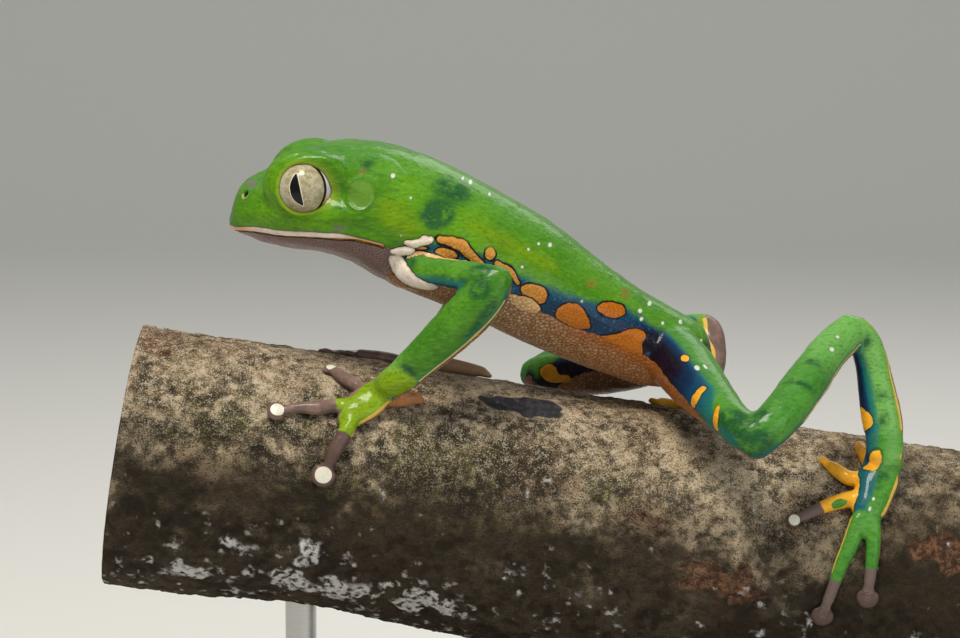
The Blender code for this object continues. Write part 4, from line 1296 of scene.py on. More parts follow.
    def paint_digit(self, piece: Piece, at: Region) -> None:
        """A finger or toe: coloured at its root and mauve towards its disc."""
        word, number = piece.name.split("_")[0], int(piece.name.split("_")[1])
        tube, up = piece.tube, piece.tube.deep[-1]
        offset = self.skin.points[at.picked] - tube.rows[-1, :3]
        flat = np.linalg.norm(offset - np.outer(offset @ up, up), axis=1)
        if word == "finger" and number == 1:
            at.put(Mark.BELLY, 1.0)
        elif word == "finger":
            at.put(Mark.DIGIT, at.u - {3: 3.4, 4: 2.6}.get(number, -2.0))
            at.put(Mark.GOLD, 1.0)
            at.put(Mark.DISC, tube.disc * 0.66 - flat)
            if number == 4:
                at.put(Mark.LINE, 0.2 - abs(at.v + 75.0) * at.stretch - step(2.6, 3.4, at.u))
        else:
            green = {5: 0.62, 4: 0.62, 3: 0.6}.get(number, 1.4) * tube.length
            at.put(Mark.DIGIT, at.u - green)
            if number > 3:
                edge = at.v + (80.0 if number == 5 else -70.0)
                ends = 2.0 * step(green - 1.0, green + 0.6, at.u)
                at.put(Mark.LINE, 0.2 - abs(edge) * at.stretch - ends)
                return
            at.put(Mark.ORANGE, 1.0)
            if number == 3:
                orange = self.fields[Mark.ORANGE]
                spot = Spot(Mark.ORANGE, 4.6, -40.0, 1.3, 0.8).distance(at.u, at.v, at.stretch)
                orange[at.picked] = np.minimum(orange[at.picked], -spot)
                at.put(Mark.DISC, tube.disc * 0.7 - flat)


BROW = (
    (-43.2, 107.6, 0.0), (-42.4, 110.4, 0.0), (-40.6, 112.0, 0.0), (-38.2, 112.8, 0.0),
    (-34.5, 112.6, 0.0), (-26.7, 112.3, 0.0), (-24.2, 111.3, 0.0), (-22.6, 109.6, 0.0),
)
THROAT_FOLD = ((-25.3, 98.0, 0.0), (-25.7, 95.6, 0.0), (-24.6, 92.8, 0.0), (-22.0, 90.9, 0.0))
SNOUT_CREASE = ((-43.4, 109.4, 0.0), (-45.6, 108.6, 0.0), (-47.4, 107.5, 0.0))


def scattered(points: Array, gap: float, seed: int) -> Array:
    """Picks points that all keep a gap of some millimetres from each other."""
    taken: dict[tuple[int, int, int], list[Array]] = {}
    around_cell = [(i, j, k) for i in (-1, 0, 1) for j in (-1, 0, 1) for k in (-1, 0, 1)]
    chosen = []
    cells = np.floor(points / gap).astype(int)
    for i in np.random.default_rng(seed).permutation(len(points)):
        a, b, c = cells[i]
        place = points[i]
        near = (other for di, dj, dk in around_cell for other in taken.get((a + di, b + dj, c + dk), ()))
        if all(((other - place) ** 2).sum() > gap * gap for other in near):
            taken.setdefault((a, b, c), []).append(place)
            chosen.append(i)
    return points[chosen]


@dataclass
class Carver:
    """Raises and sinks the skin by small heights, and keeps what the material needs."""

    skin: Skin
    fields: dict[Mark, Array]
    height: Array = field(init=False)

    def __post_init__(self) -> None:
        facing = self.skin.surface.normals()
        self.height = np.zeros(len(self.skin.points))
        self.shape_head()
        self.shape_lobes()
        self.shape_granules()
        self.shape_swells()
        self.skin.points[:] += facing * self.height[:, None]
        fine, broad = noise(self.skin.points, 0.9, 9, 2), noise(self.skin.points, 2.2, 10, 2)
        for mark, values in self.fields.items():
            ragged = {Mark.WHITE: 0.12, Mark.LINE: 0.03, Mark.DOT: 0.05, Mark.DISC: 0.03}.get(mark, 0.14)
            if mark is Mark.WHITE:
                ragged = ragged - 0.1 * self.skin.marks["throat"]
            self.skin.marks[mark.value] = values + ragged * (fine + 0.8 * broad)

    def keep(self, name: str, picked: Array, values: Array, elsewhere: float = FAR) -> None:
        """Stores a mark for the material, with one value for all other points."""
        self.skin.marks[name] = np.full(len(self.skin.points), elsewhere)
        self.skin.marks[name][picked] = values

    def crease(self, picked: Array, line: tuple[Row, ...], depth: float, width: float) -> Array:
        """Sinks a narrow line, and gives the distance from it."""
        points = self.skin.points[picked]
        away = -Band(Mark.SCAR, line).distance(points[:, 0], points[:, 2], 1.0)
        self.height[picked] -= depth * bump(away, width)
        return away

    def shape_head(self) -> None:
        """Lips, nostrils, eardrums, the fold over the eye and the one behind the jaw."""
        picked = self.skin.body
        x, y, z = self.skin.points[picked].T
        over = z - mouth_height(x)
        lip = 0.28 * bump(over - 0.75, 0.55) - 0.5 * bump(over + 0.02, 0.13)
        self.height[picked] += step(-25.2, -26.4, x) * (lip - 0.2 * step(-0.1, -0.6, over))
        away = np.linalg.norm(np.stack([x, -abs(y), z], axis=1) - np.array(NOSTRIL), axis=1)
        self.height[picked] += 0.13 * bump(away - 0.85, 0.3) - 0.7 * step(0.62, 0.3, away)
        # The distance from each nostril, for its pale rim and the painted shade in its hole
        self.keep("nostril", picked, away)
        self.keep("nostril_rim", picked, away + 3.0 * step(105.5, 106.0, z))
        side = step(7.0, 9.0, abs(y))
        drum = np.hypot((x - EARDRUM[0]) / EARDRUM_RADII[0], (z - EARDRUM[1]) / EARDRUM_RADII[1])
        rim = 0.1 * bump(drum - 1.02, 0.13) - 0.1 * step(1.05, 0.9, drum) - 0.08 * bump(drum - 1.3, 0.16)
        self.height[picked] += side * rim
        self.keep("drum", picked, np.where(side > 0.5, drum, FAR))
        away = self.crease(picked, BROW, 0.13, 0.22)
        below = z < np.interp(x, [p[0] for p in BROW[1:]], [p[1] for p in BROW[1:]])
        self.height[picked] += 0.2 * bump(away - 0.95, 0.6) * below * step(-41.5, -39.0, x)
        self.crease(picked, SNOUT_CREASE, 0.1, 0.25)
        self.crease(picked, THROAT_FOLD, 0.35, 0.25)

    def shape_lobes(self) -> None:
        """Puffed pale and orange lobes with grooves between them."""
        for mark, rise in ((Mark.WHITE, 0.16), (Mark.ORANGE, 0.07), (Mark.CREAM, 0.05)):
            values = self.fields[mark]
            self.height += rise * step(-0.05, 0.55, values) - 0.5 * rise * bump(values + 0.12, 0.14)

    def shape_granules(self) -> None:
        """The pebbled skin of throat, belly and flanks."""
        points, belly = self.skin.points, self.fields[Mark.BELLY]
        trunk = self.skin.kind == Kind.TRUNK.value
        limbs = np.isin(self.skin.kind, (Kind.LIMB.value, Kind.PALM.value))
        behind = trunk & (points[:, 0] >= -25.0)
        cell, tone = np.ones(len(points)), np.full(len(points), 0.5)
        rows = (
            (trunk & (points[:, 0] < -25.0) & (belly > -0.3), 0.42, 0.05),
            (behind & (belly > -0.3), 0.52, 0.12),
            (behind & (belly <= -0.3) & (self.fields[Mark.BLUE] > -0.3), 0.45, 0.055),
            (limbs & (belly > -0.2), 0.55, 0.05),
        )
        for number, (where, gap, rise) in enumerate(rows):
            picked = np.flatnonzero(where)
            middles = scattered(points[picked], gap, SEED + number)
            tree = tree_of(middles)
            found = [tree.find_n(place, 2) for place in points[picked]]
            first, second = (np.array([pair[i][2] for pair in found]) for i in range(2))
            shade = np.random.default_rng(SEED).random(len(middles))
            cell[picked] = step(0.0, 0.55, (second - first) / gap)
            tone[picked] = shade[[pair[0][1] for pair in found]]
            inside = 1.0 if number == 2 else step(-0.2, 0.5, belly[picked])
            self.height[picked] += rise * (cell[picked] - 0.5) * inside
        self.skin.marks["cell"], self.skin.marks["tone"] = cell, tone
        self.skin.marks["throat"] = np.where(trunk, step(-24.2, -25.4, points[:, 0]), 0.0)

    def shape_swells(self) -> None:
        """Soft unevenness all over, less where the frog holds the branch."""
        points = self.skin.points
        free = np.where(np.isin(self.skin.kind, (Kind.DIGIT.value, Kind.DISC.value)), 0.3, 1.0)
        self.height += free * (0.06 * noise(points, 2.6, 3, 2) + 0.018 * noise(points, 0.8, 4))


def tints(skin: Skin, fields: dict[Mark, Array]) -> None:
    """Soft shares from 0 to 1 that shade one colour of the pattern into another."""
    points, facing = skin.points, skin.surface.normals()
    x, z = points[:, 0], points[:, 2]
    trunk = np.isin(skin.kind, (Kind.TRUNK.value, Kind.LID.value))
    blue, belly = fields[Mark.BLUE], fields[Mark.BELLY]
    groin = step(9.0, 15.0, x) * step(87.0, 83.0, z)
    deep = np.where(trunk, 0.26 + 0.34 * step(0.2, 2.6, blue) * step(-10.0, 2.0, x) + 0.55 * groin, 0.2)
    warm = np.where(trunk, step(4.5, 0.3, belly) * step(-8.0, 13.0, x), 0.8)
    cool = np.where(trunk, 0.0, 0.8)
    glow = np.where(trunk, step(-6.0, 5.0, x), 1.75)
    pale, dusk = np.zeros(len(points)), np.zeros(len(points))
    for number, piece in enumerate(skin.pieces):
        own = skin.owner == number
        if piece.tube is None or not own.any():
            continue
        word, right = piece.name.rsplit("_", 1)[0], piece.side is Side.RIGHT
        along, angle, _ = around(piece.tube, points[own], piece.side)
        if word == "thigh":
            deep[own] = step(50.0, 100.0 if right else 98.0, angle)
            deep[own] *= 1.0 if right else step(27.0, 11.0, along)
            warm[own], cool[own] = 0.35 if right else 0.8, 0.5
        elif word in ("tarsus", "upper_arm", "forearm"):
            deep[own] = 0.75 * step(0.6, 2.0, blue[own])
        if word.startswith(("upper_arm", "forearm", "finger")):
            warm[own] = cool[own] = 0.35
        if word.startswith("finger"):
            pale[own], cool[own] = 0.95, 0.0
        if word.startswith("finger_1"):
            warm[own] = 0.0 if right else 0.6
        if word == "upper_arm":
            glow[own] = 1.0
        elif word.startswith("toe"):
            glow[own] = 2.0
        elif word == "tarsus":
            pale[own] = 0.8
        elif word == "shank":
            pale[own] = 0.6 * step(12.0, 20.0, along)
        elif word == "forearm":
            pale[own] = 0.8 * step(15.5, 21.5, along)
        # Finger 4 and the toe discs are darker: partly their own colour, partly painted shade
        if piece.name.startswith("finger_4") or (word.startswith("toe") and piece.kind is Kind.DISC):
            dusk[own] = 0.8
    for name, values, rounds in (
        ("deep", np.clip(deep, 0.0, 1.0), 14),
        ("warm", warm, 14),
        ("cool", cool, 40),
        ("glow", glow, 14),
        ("pale", pale, 40),
        ("dusk", dusk, 14),
    ):
        skin.marks[name] = skin.blended(values, rounds)
    at_lip = bump((z - mouth_height(x)) / 1.6, 1.0) * step(-24.8, -25.6, x)
    ends = np.maximum(step(-45.5, -48.5, x), step(-33.5, -29.0, x))
    skin.marks["lip"] = np.where(trunk, at_lip * ends, 0.0)
    snout = -np.hypot((x + 47.0) / 1.3, (z - 107.1) / 0.8)
    cheek = -np.hypot((x + 32.9) / 1.5, (z - 101.0 - 0.12 * (x + 32.9)) / 0.5)
    skin.marks["smudge"] = np.where(trunk, np.maximum(snout, cheek), OUTSIDE)
    # A painted sheen: the share of skin that faces up, where the light falls
    skin.marks["top"] = step(0.35, 0.95, facing[:, 2])


# Materials


def linear(code: str) -> tuple[float, float, float, float]:
    """An sRGB hex colour as linear light with full opacity."""
    shares = [int(code[i : i + 2], 16) / 255 for i in (1, 3, 5)]
    return (*(s / 12.92 if s <= 0.04045 else ((s + 0.055) / 1.055) ** 2.4 for s in shares), 1.0)


Socket = bpy.types.NodeSocket
Value = float | str | tuple[float, ...] | Socket


@dataclass(frozen=True)
class Finish:
    """What a surface does with light besides its colour."""

    roughness: float
    coat: float = 0.0
    coat_roughness: float = 0.1
    metallic: float = 0.0
    subsurface: float = 0.0
    subsurface_reach: float = 0.6
    specular: float = 0.5


class Graph:
    """The node tree of one material."""

    def __init__(self, name: str, finish: Finish) -> None:
        self.material = bpy.data.materials.new(name)
        self.material.use_nodes = True
        self.tree = self.material.node_tree
        self.shader = self.tree.nodes["Principled BSDF"].inputs
        for socket, value in (
            ("Roughness", finish.roughness),
            ("Metallic", finish.metallic),
            ("Coat Weight", finish.coat),
            ("Coat Roughness", finish.coat_roughness),
            ("Specular IOR Level", finish.specular),
            ("Subsurface Weight", finish.subsurface),
            ("Subsurface Scale", finish.subsurface_reach * MM),
            ("Subsurface Radius", (1.0, 0.6, 0.35)),
        ):
            self.shader[socket].default_value = value
        self.place = self.add("TexCoord", output="Object")

    def join(self, socket: Socket, value: Value) -> None:
        """Sets or links an input; text is a #colour or the name of one of the mesh's attributes."""
        if isinstance(value, str) and value[0] != "#":
            value = self.add("Attribute", output="Fac", attribute_name=value)
        if isinstance(value, Socket):
            self.tree.links.new(value, socket)
        else:
            socket.default_value = linear(value) if isinstance(value, str) else value

    def add(self, kind: str, *values: Value, output: str | int = 0, **named: object) -> Socket:
        """Adds a node.

        Args:
            kind: the node's type, without ShaderNode.
            values: what its inputs get, in their order.
            output: the name or number of the output that is wanted.
            named: its settings, followed by the inputs that go by name.

        Returns:
            The output.
        """
        node = self.tree.nodes.new(f"ShaderNode{kind}")
        for key, value in named.items():
            if key in node.inputs:
                self.join(node.inputs[key], value)
            else:
                setattr(node, key, value)
        for socket, value in zip([socket for socket in node.inputs if socket.enabled], values):
            self.join(socket, value)
        return node.outputs[output]

    def rise(self, value: Value, low: float, high: float) -> Socket:
        """A smooth rise from 0 where the value is low to 1 where it is high."""
        if low > high:
            return self.add("Math", 1.0, self.rise(value, high, low), operation="SUBTRACT")
        return self.add("MapRange", value, low, high, interpolation_type="SMOOTHSTEP")

    def scaled(self, value: Value, by: Value, plus: Value) -> Socket:
        """A value times another, plus a third."""
        return self.add("Math", value, by, plus, operation="MULTIPLY_ADD")

    def product(self, share: Value, *others: Value) -> Value:
        """All the values multiplied."""
        for other in others:
            share = self.add("Math", share, other, operation="MULTIPLY")
        return share

    def layered(self, colour: Value, *layers: tuple[Value, ...]) -> Socket:
        """Colours over one another.

        Args:
            colour: the lowest.
            layers: the next ones, each with the values whose product is the share it covers.

        Returns:
            The colour that is seen.
        """
        for tint, *shares in layers:
            colour = self.add("Mix", self.product(*shares), colour, tint, output=2, data_type="RGBA")
        return colour

    def swells(self, size: float, detail: float, seed: float = 0.0, place: Socket | None = None) -> Socket:
        """An uneven pattern between 0 and 1 with swells of some millimetres."""
        named = {"noise_dimensions": "4D", "W": seed, "Scale": 1.0 / (size * MM), "Detail": detail}
        return self.add("TexNoise", **named, Vector=place or self.place)

    def finished(
        self, colour: Value, height: Value = 0.0, depth: float = 0.0, strength: float = 1.0
    ) -> bpy.types.Material:
        """The material with its colour, and fine relief of some millimetres under the light."""
        self.join(self.shader["Base Color"], colour)
        if depth:
            relief = self.add("Bump", Strength=strength, Distance=depth * MM, Height=height)
            self.join(self.shader["Normal"], relief)
        return self.material


FLESH = [
    *("head", "torso"),
    *(
        f"{name}_{side.word}"
        for side in Side
        for name in ("upper_arm", "forearm", "hand", "thigh", "shank", "tarsus", "foot")
    ),
    *(f"finger_{i}_{side.word}" for side in Side for i in range(1, 5)),
    *(f"toe_{i}_{side.word}" for side in Side for i in range(1, 6)),
]


def settle(piece: bpy.types.Object, material: bpy.types.Material, slot: str, *nodes: str) -> None:
    """Gives a piece its material, its place on the body and the nodes that it stands for."""
    piece.data.materials.clear()
    piece.data.materials.append(material)
    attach(piece, "root")
    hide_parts(*nodes)
    LOG.info("%s: %d faces", piece.name, len(piece.data.polygons))


def skin_material() -> bpy.types.Material:
    """Moist skin: leaf green over blue-black and orange flanks, and a pebbled tan underside."""
    graph = Graph("moist_frog_skin", Finish(0.45, 0.24, 0.13, subsurface=0.08, specular=0.08))
    layered, rise, swells = graph.layered, graph.rise, graph.swells
    broad, patchy, fine = swells(9.0, 3.0), swells(1.6, 3.0, 4.0), swells(0.35, 2.0, 8.0)
    turned, drawn_out = (0.0, math.radians(-24.0), 0.0), (0.3, 1.0, 1.0)
    drawn = graph.add("Mapping", Vector=graph.place, Rotation=turned, Scale=drawn_out)
    # Fine slanted wrinkles, sunk by the bump and painted with their light and shade in the colour
    wrinkle = swells(0.42, 4.0, 6.0, drawn)
    cloud, between = rise(broad, 0.35, 0.65), graph.scaled("cell", -1.0, 1.0)

    # The green darkens in clouds and takes a painted bluish sheen where it faces up, and the eardrum is a
    # paler, duller disc
    colour = layered(
        "#43790a",
        ("#5d920c", cloud),
        (layered("#35742a", ("#4c8f38", cloud)), "cool"),
        # Painted sheen: a bluer green on the skin that faces up
        ("#4a8436", "top", 0.6),
        (layered("#b2cc28", ("#82bc62", rise("cool", 0.0, 0.5))), "pale", 0.75),
        ("#6e8c04", rise("gold", -1.2, 1.6), 0.75),
        ("#12482a", rise("teal", -1.0, 0.6), rise(patchy, 0.25, 0.55), 0.9),
        ("#2b6a10", rise(fine, 0.52, 0.72), 0.4),
        # Painted shade in the wrinkles' grooves and painted light on their ridges
        ("#2a5c0c", rise(wrinkle, 0.5, 0.68), 0.42),
        ("#86b23a", rise(wrinkle, 0.46, 0.34), 0.16),
        ("#8a5a2c", rise("scar", -0.4, 0.2), 0.45),
        ("#648634", rise("drum", 1.02, 0.94), 0.55),
    )

    # Blue flanks and limb edges
    shade = layered(
        "#1f6f62",
        ("#0e4460", rise("deep", 0.0, 0.4)),
        ("#0a2444", rise("deep", 0.35, 0.75)),
        ("#120a1a", rise("deep", 0.75, 1.0)),
        ("#3a8090", rise("tone", 0.7, 1.0), 0.25),
        ("#050c18", between, 0.6),
    )

    # The underside: tan granules with dark gaps, warmer towards the flank, mauve on the throat
    granule = layered("#93704a", ("#c0a080", "tone"), ("#9e5408", "warm"), ("#87706a", "throat"))
    gap = layered("#5e4529", ("#7c4210", "warm"), ("#56453f", "throat"))
    pebbled = layered(gap, (granule, "cell"))
    colour = layered(colour, (shade, rise("blue", -0.7, 0.8)), (pebbled, rise("belly", -0.1, 0.08)))

    # Orange and cream spots, outlined in black where they lie on the blue
    weaker = graph.scaled(rise("glow", 1.1, 1.7), -0.6, 1.0)
    on_blue = graph.product(rise("blue", -1.5, -0.8), rise("belly", 0.4, -0.2), weaker)
    for mark, duller, brighter in (("orange", "#c68e3c", "#b26406"), ("cream", "#cdac78", "#ecbc7c")):
        paint = layered(duller, (brighter, "glow"))
        if mark == "orange":
            paint = layered(paint, ("#f2b02c", rise("glow", 1.0, 2.0)))
        paint = layered(paint, ("#a8520a", rise(patchy, 0.45, 0.7), 0.35), ("#6e3f0c", between, 0.5))
        outline = ("#05070c", rise(mark, -0.38, -0.2), on_blue)
        colour = layered(colour, outline, (paint, rise(mark, -0.08, 0.06)))

    digit = layered(
        "#715a50",
        ("#8f7266", rise(patchy, 0.4, 0.65)),
        ("#6c5c55", rise("glow", 1.6, 2.0)),
        # Darker on finger 4 and the toe discs: partly their own colour, partly painted shade
        ("#503e37", "dusk"),
    )
    chalk = layered(
        "#e6dac6",
        ("#cfc1bf", rise(patchy, 0.4, 0.7)),
        ("#b3925f", rise("white", 0.36, 0.04), 0.45),
        ("#dba04a", "lip", 0.75),
    )
    colour = layered(
        colour,
        # Fingers and toes, whose discs have a pale middle
        (digit, rise("digit", -0.15, 0.15)),
        ("#5c4843", rise("disc", -0.35, -0.1)),
        ("#d6d3be", rise("disc", -0.06, 0.06)),
        # Pale lobes and lip with a black edge, painted shade in the slit of the mouth, and yellow lines
        (layered("#17140f", ("#575264", "throat")), rise("white", -0.26, -0.1), 0.85),
        (chalk, rise("white", -0.08, 0.04)),
        # Painted shade: a dark band just under the mouth's yellow line, in the slit between the jaws
        ("#2a1a12", rise("line", -0.3, -0.14), "throat", rise("white", 0.0, -0.06)),
        (layered("#d6b050", ("#a8781f", "throat")), rise("line", -0.08, 0.05)),
        # Scattered warts, smudges on the head, nostrils with painted shade in their holes, the rims of the
        # lids and a painted shadow line at their edge
        ("#5d7a58", rise("dot", -0.22, -0.05), 0.5),
        ("#c6cdba", rise("dot", -0.05, 0.08)),
        ("#75656f", rise("smudge", -1.1, -0.4), 0.6),
        ("#b5ad7a", rise("nostril_rim", 1.05, 0.75), 0.6),
        # Painted shade: the nostril holes are near black
        ("#140c0a", rise("nostril", 0.62, 0.46)),
        ("#93a02a", rise("rim", 0.6, 0.1), 0.6),
        # Painted shadow: a dark line where the lids' edge meets the eyeball
        ("#2c2010", rise("rim", 0.2, 0.1)),
    )
    pebbles = graph.add("TexVoronoi", output="Distance", Vector=graph.place, Scale=1.0 / (0.55 * MM))
    pebbles = graph.scaled(wrinkle, -1.2, graph.scaled(swells(0.3, 2.0, 3.0), 0.8, pebbles))
    return graph.finished(colour, pebbles, 0.07, 0.8)


PUPIL = (
    (-0.1, 2.65), (0.38, 1.8), (0.66, 1.0), (0.72, 0.2), (0.5, -0.95), (0.05, -1.7), (-0.55, -2.2),
    (-1.36, -2.65), (-1.25, -1.2), (-0.95, 0.4), (-0.55, 1.7),
)


def eye_material() -> bpy.types.Material:
    """A wet silvery eye: fine dark speckle on cream, a slit pupil and the pale lid behind it."""
    graph = Graph("wet_eye", Finish(0.35, 0.35, 0.03, specular=0.12))
    layered, rise = graph.layered, graph.rise
    lid = layered("#c9bfcc", ("#d39b42", rise("rise", -0.6, -1.8)))
    colour = layered(
        "#958b6c",
        ("#b3aa88", rise(graph.swells(0.8, 3.0, 2.0), 0.35, 0.65)),
        ("#b8b09c", rise("level", 0.8, 2.6)),
        ("#5f4f38", rise(graph.swells(0.28, 3.0), 0.52, 0.66), 0.55),
        ("#806b4c", rise("rise", -1.6, -3.6), 0.6),
        ("#0c0a0a", rise("away", 60.5, 62.0)),
        (lid, rise("away", 67.0, 68.5)),
        ("#e6dcc6", rise("pupil", -0.15, -0.06)),
        ("#060607", rise("pupil", -0.03, 0.03)),
    )
    return graph.finished(colour)


def eye_piece(side: Side) -> bpy.types.Object:
    """One eyeball with what its material needs to draw iris and pupil."""
    centre = EYE.place(side)
    surface = ball(centre, EYE.axes(side) * EYE.radius, 256)
    ahead, up, gaze = ((surface.points - centre) @ axis for axis in EYE.axes(side, IRIS_FORWARD))
    marks = {
        "away": np.where(ahead > 0.5, 20.0, np.degrees(np.arctan2(np.hypot(ahead, up), gaze))),
        "level": ahead,
        "rise": up,
        "pupil": np.where(gaze > 0, Area(Mark.SCAR, PUPIL).distance(ahead, up, 1.0), OUTSIDE),
    }
    return placed(f"eyeball_{side.word}", surface.mesh("eyeball", MM, marks))


# The branch and its stand


@dataclass(frozen=True)
class Patch:
    """An uneven patch of the bark, placed along the branch in mm and round it in degrees."""

    along: float
    angle: float
    long: float
    wide: float
    ragged: float = 0.8


class Crust(Enum):
    """What covers a patch of the bark."""

    SCAR = "scar"
    CHALK = "chalk"
    RUST = "rust"
    MOSS = "moss"


PATCHES: dict[Crust, tuple[Patch, ...]] = {
    Crust.SCAR: (Patch(-6.1, 24.0, 7.0, 2.2, 0.7),),
    Crust.CHALK: (
        Patch(-39.0, 130.0, 5.0, 2.2, 2.0), Patch(-31.0, 132.0, 4.2, 2.4, 2.0),
        Patch(-37.5, 110.0, 1.8, 3.4, 1.6), Patch(-17.5, 131.0, 6.0, 2.6, 2.2),
        Patch(-57.0, 133.0, 4.5, 1.6, 1.8), Patch(-49.0, 114.0, 2.6, 1.0, 1.2),
        Patch(20.0, 150.0, 6.0, 3.0, 2.4), Patch(44.0, 205.0, 7.0, 4.0, 2.4),
        Patch(-30.0, 235.0, 6.0, 4.0, 2.4),
    ),
    Crust.RUST: (
        Patch(13.2, 73.0, 3.2, 1.1, 0.9), Patch(27.5, 94.0, 6.0, 2.4, 2.2),
        Patch(62.0, 68.0, 4.5, 2.6, 2.0), Patch(-66.0, 12.0, 5.0, 6.0, 1.6),
        Patch(-66.0, -25.0, 4.0, 6.0, 1.8), Patch(50.0, 290.0, 6.0, 3.0, 2.2),
        Patch(-5.0, 250.0, 7.0, 3.0, 2.2),
    ),
    Crust.MOSS: (
        Patch(-52.0, 60.0, 10.0, 5.0, 5.0), Patch(-36.0, 84.0, 9.0, 6.0, 5.0),
        Patch(-14.0, 88.0, 12.0, 5.0, 5.0), Patch(-10.0, 52.0, 5.0, 2.6, 3.0),
        Patch(-19.0, 64.0, 11.0, 7.0, 4.0), Patch(0.0, 100.0, 9.0, 5.0, 5.0),
        Patch(8.0, 62.0, 5.0, 3.0, 3.0), Patch(55.0, 88.0, 7.0, 5.0, 4.0),
        Patch(38.0, 120.0, 12.0, 6.0, 5.0), Patch(-60.0, 100.0, 8.0, 6.0, 4.0),
        Patch(60.0, 98.0, 10.0, 14.0, 3.0), Patch(20.0, 270.0, 16.0, 7.0, 5.0),
        Patch(-30.0, 285.0, 14.0, 6.0, 5.0),
    ),
}


@dataclass
class Log:
    """The cut branch with its bark in relief, flattened where hands and feet rest on it."""

    held: Array
    rings: int = 520
    sides: int = 520
    cap_rings: int = 14

    def __post_init__(self) -> None:
        half = PERCH.length / 2
        along = np.linspace(-half, half, self.rings)
        turn = np.linspace(0.0, 2 * math.pi, self.sides, endpoint=False)
        self.along, self.turn = (grid.ravel() for grid in np.meshgrid(along, turn, indexing="ij"))
        self.rest = PERCH.point(self.along, np.degrees(self.turn), np.zeros(len(self.along)))
        self.marks = {crust.value: self.cover(patches) for crust, patches in PATCHES.items()}
        self.marks["chalk"] = np.maximum(self.marks["chalk"], self.flecks(4.0, 0.95))
        # Partly the bark's own darker colour, partly painted shade: a share that grows towards the underside
        # and the right end
        self.marks["under"] = 0.5 - 0.5 * np.cos(self.turn) + 0.25 * step(38.0, 62.0, self.along)
        self.height = self.relief()

    def cover(self, patches: Sequence[Patch]) -> Array:
        """How far inside the nearest patch each place lies, in millimetres, with ragged edges."""
        best = np.full(len(self.along), OUTSIDE)
        wander = noise(self.rest, 2.6, 11, 3)
        for patch in patches:
            across = np.angle(np.exp(1j * (self.turn - math.radians(patch.angle)))) * PERCH.radius
            reach = np.hypot((self.along - patch.along) / patch.long, across / patch.wide)
            inside = (1.0 - reach) * min(patch.long, patch.wide)
            best = np.maximum(best, inside + patch.ragged * wander)
        return best

    def flecks(self, size: float, share: float) -> Array:
        """Small scattered patches on the lower half."""
        low = 0.35 * step(0.2, -0.6, np.cos(self.turn))
        return (noise(self.rest, size * 0.4, 21, 3) - share + low) * 1.2

    def relief(self) -> Array:
        """The height of the bark over a true round bar."""
        points = self.rest
        fibres = points @ np.outer(PERCH.along, PERCH.along)
        drawn = points - 0.72 * fibres
        under = np.maximum(0.0, -np.cos(self.turn))
        swells = under * (
            0.5 * np.sin(self.along / 13.0 + 1.0) + 0.3 * np.sin(self.along / 9.0 + 3.0 * self.turn)
        )
        lumps = 0.16 * noise(points, 9.0, 1, 2) + 0.14 * noise(points, 2.8, 2, 2)
        grains = 0.2 * noise(points, 1.3, 3, 3)
        cracks = 0.16 * bump(noise(drawn, 2.4, 5, 2), 0.12) * step(0.1, 0.8, noise(points, 7.0, 6))
        scar, rust = self.marks["scar"], self.marks["rust"]
        chalk = step(-0.2, 0.4, self.marks["chalk"])
        smooth = step(-0.3, 0.2, scar)
        torn = step(-0.1, 0.15, rust)
        edge = 0.14 * bump(scar + 0.25, 0.3) + 0.1 * bump(rust + 0.2, 0.25)
        splinters = 0.12 * noise(drawn, 0.6, 8, 2)
        rough = lumps + grains - cracks
        rough = rough * (1 - smooth) + (0.05 * lumps - 0.16) * smooth
        rough = rough * (1 - torn) + (0.5 * lumps - 0.2 + splinters) * torn + edge + 0.08 * chalk
        holds = tree_of(self.held)
        free = step(0.6, 3.2, np.array([holds.find(place)[2] for place in points]))
        # Painted shade: how low the rough bark lies, to darken its hollows
        self.marks["hollow"] = -rough
        return swells + rough * (0.22 + 0.78 * free)

    def piece(self) -> bpy.types.Object:
        """The branch as an object of the scene."""
        outward = PERCH.outward(self.rest)
        bark = (self.rest + outward * self.height[:, None]).reshape(self.rings, self.sides, 3)
        middles = [PERCH.centre + PERCH.along * way * PERCH.length / 2 for way in (-1.0, 1.0)]
        shares = 1.0 - np.linspace(0.0, 0.97, self.cap_rings) ** 1.6
        caps = []
        for ring, middle, way in ((bark[0], middles[0], -1.0), (bark[-1], middles[1], 1.0)):
            cap = middle + (ring - middle) * shares[1:, None, None]
            worn = 0.05 * noise(cap.reshape(-1, 3), 3.0, 15, 3).reshape(cap.shape[:2])
            caps.append(cap + PERCH.along * way * (worn - 0.05)[..., None])
        grid = np.concatenate([caps[0][::-1], bark, caps[1]])
        surface = oriented(lofted(grid, caps[0][-1].mean(axis=0), caps[1][-1].mean(axis=0)))
        extra = self.cap_rings * self.sides
        marks = {name: np.pad(values, extra, constant_values=OUTSIDE) for name, values in self.marks.items()}
        marks["cut"] = np.pad(np.zeros(len(self.along)), extra, constant_values=1.0)
        offset = surface.points - PERCH.centre
        offset = offset - np.outer(offset @ PERCH.along, PERCH.along)
        marks["radial"] = np.linalg.norm(offset, axis=1)
        return placed("branch_bark", surface.mesh("branch", MM, marks))


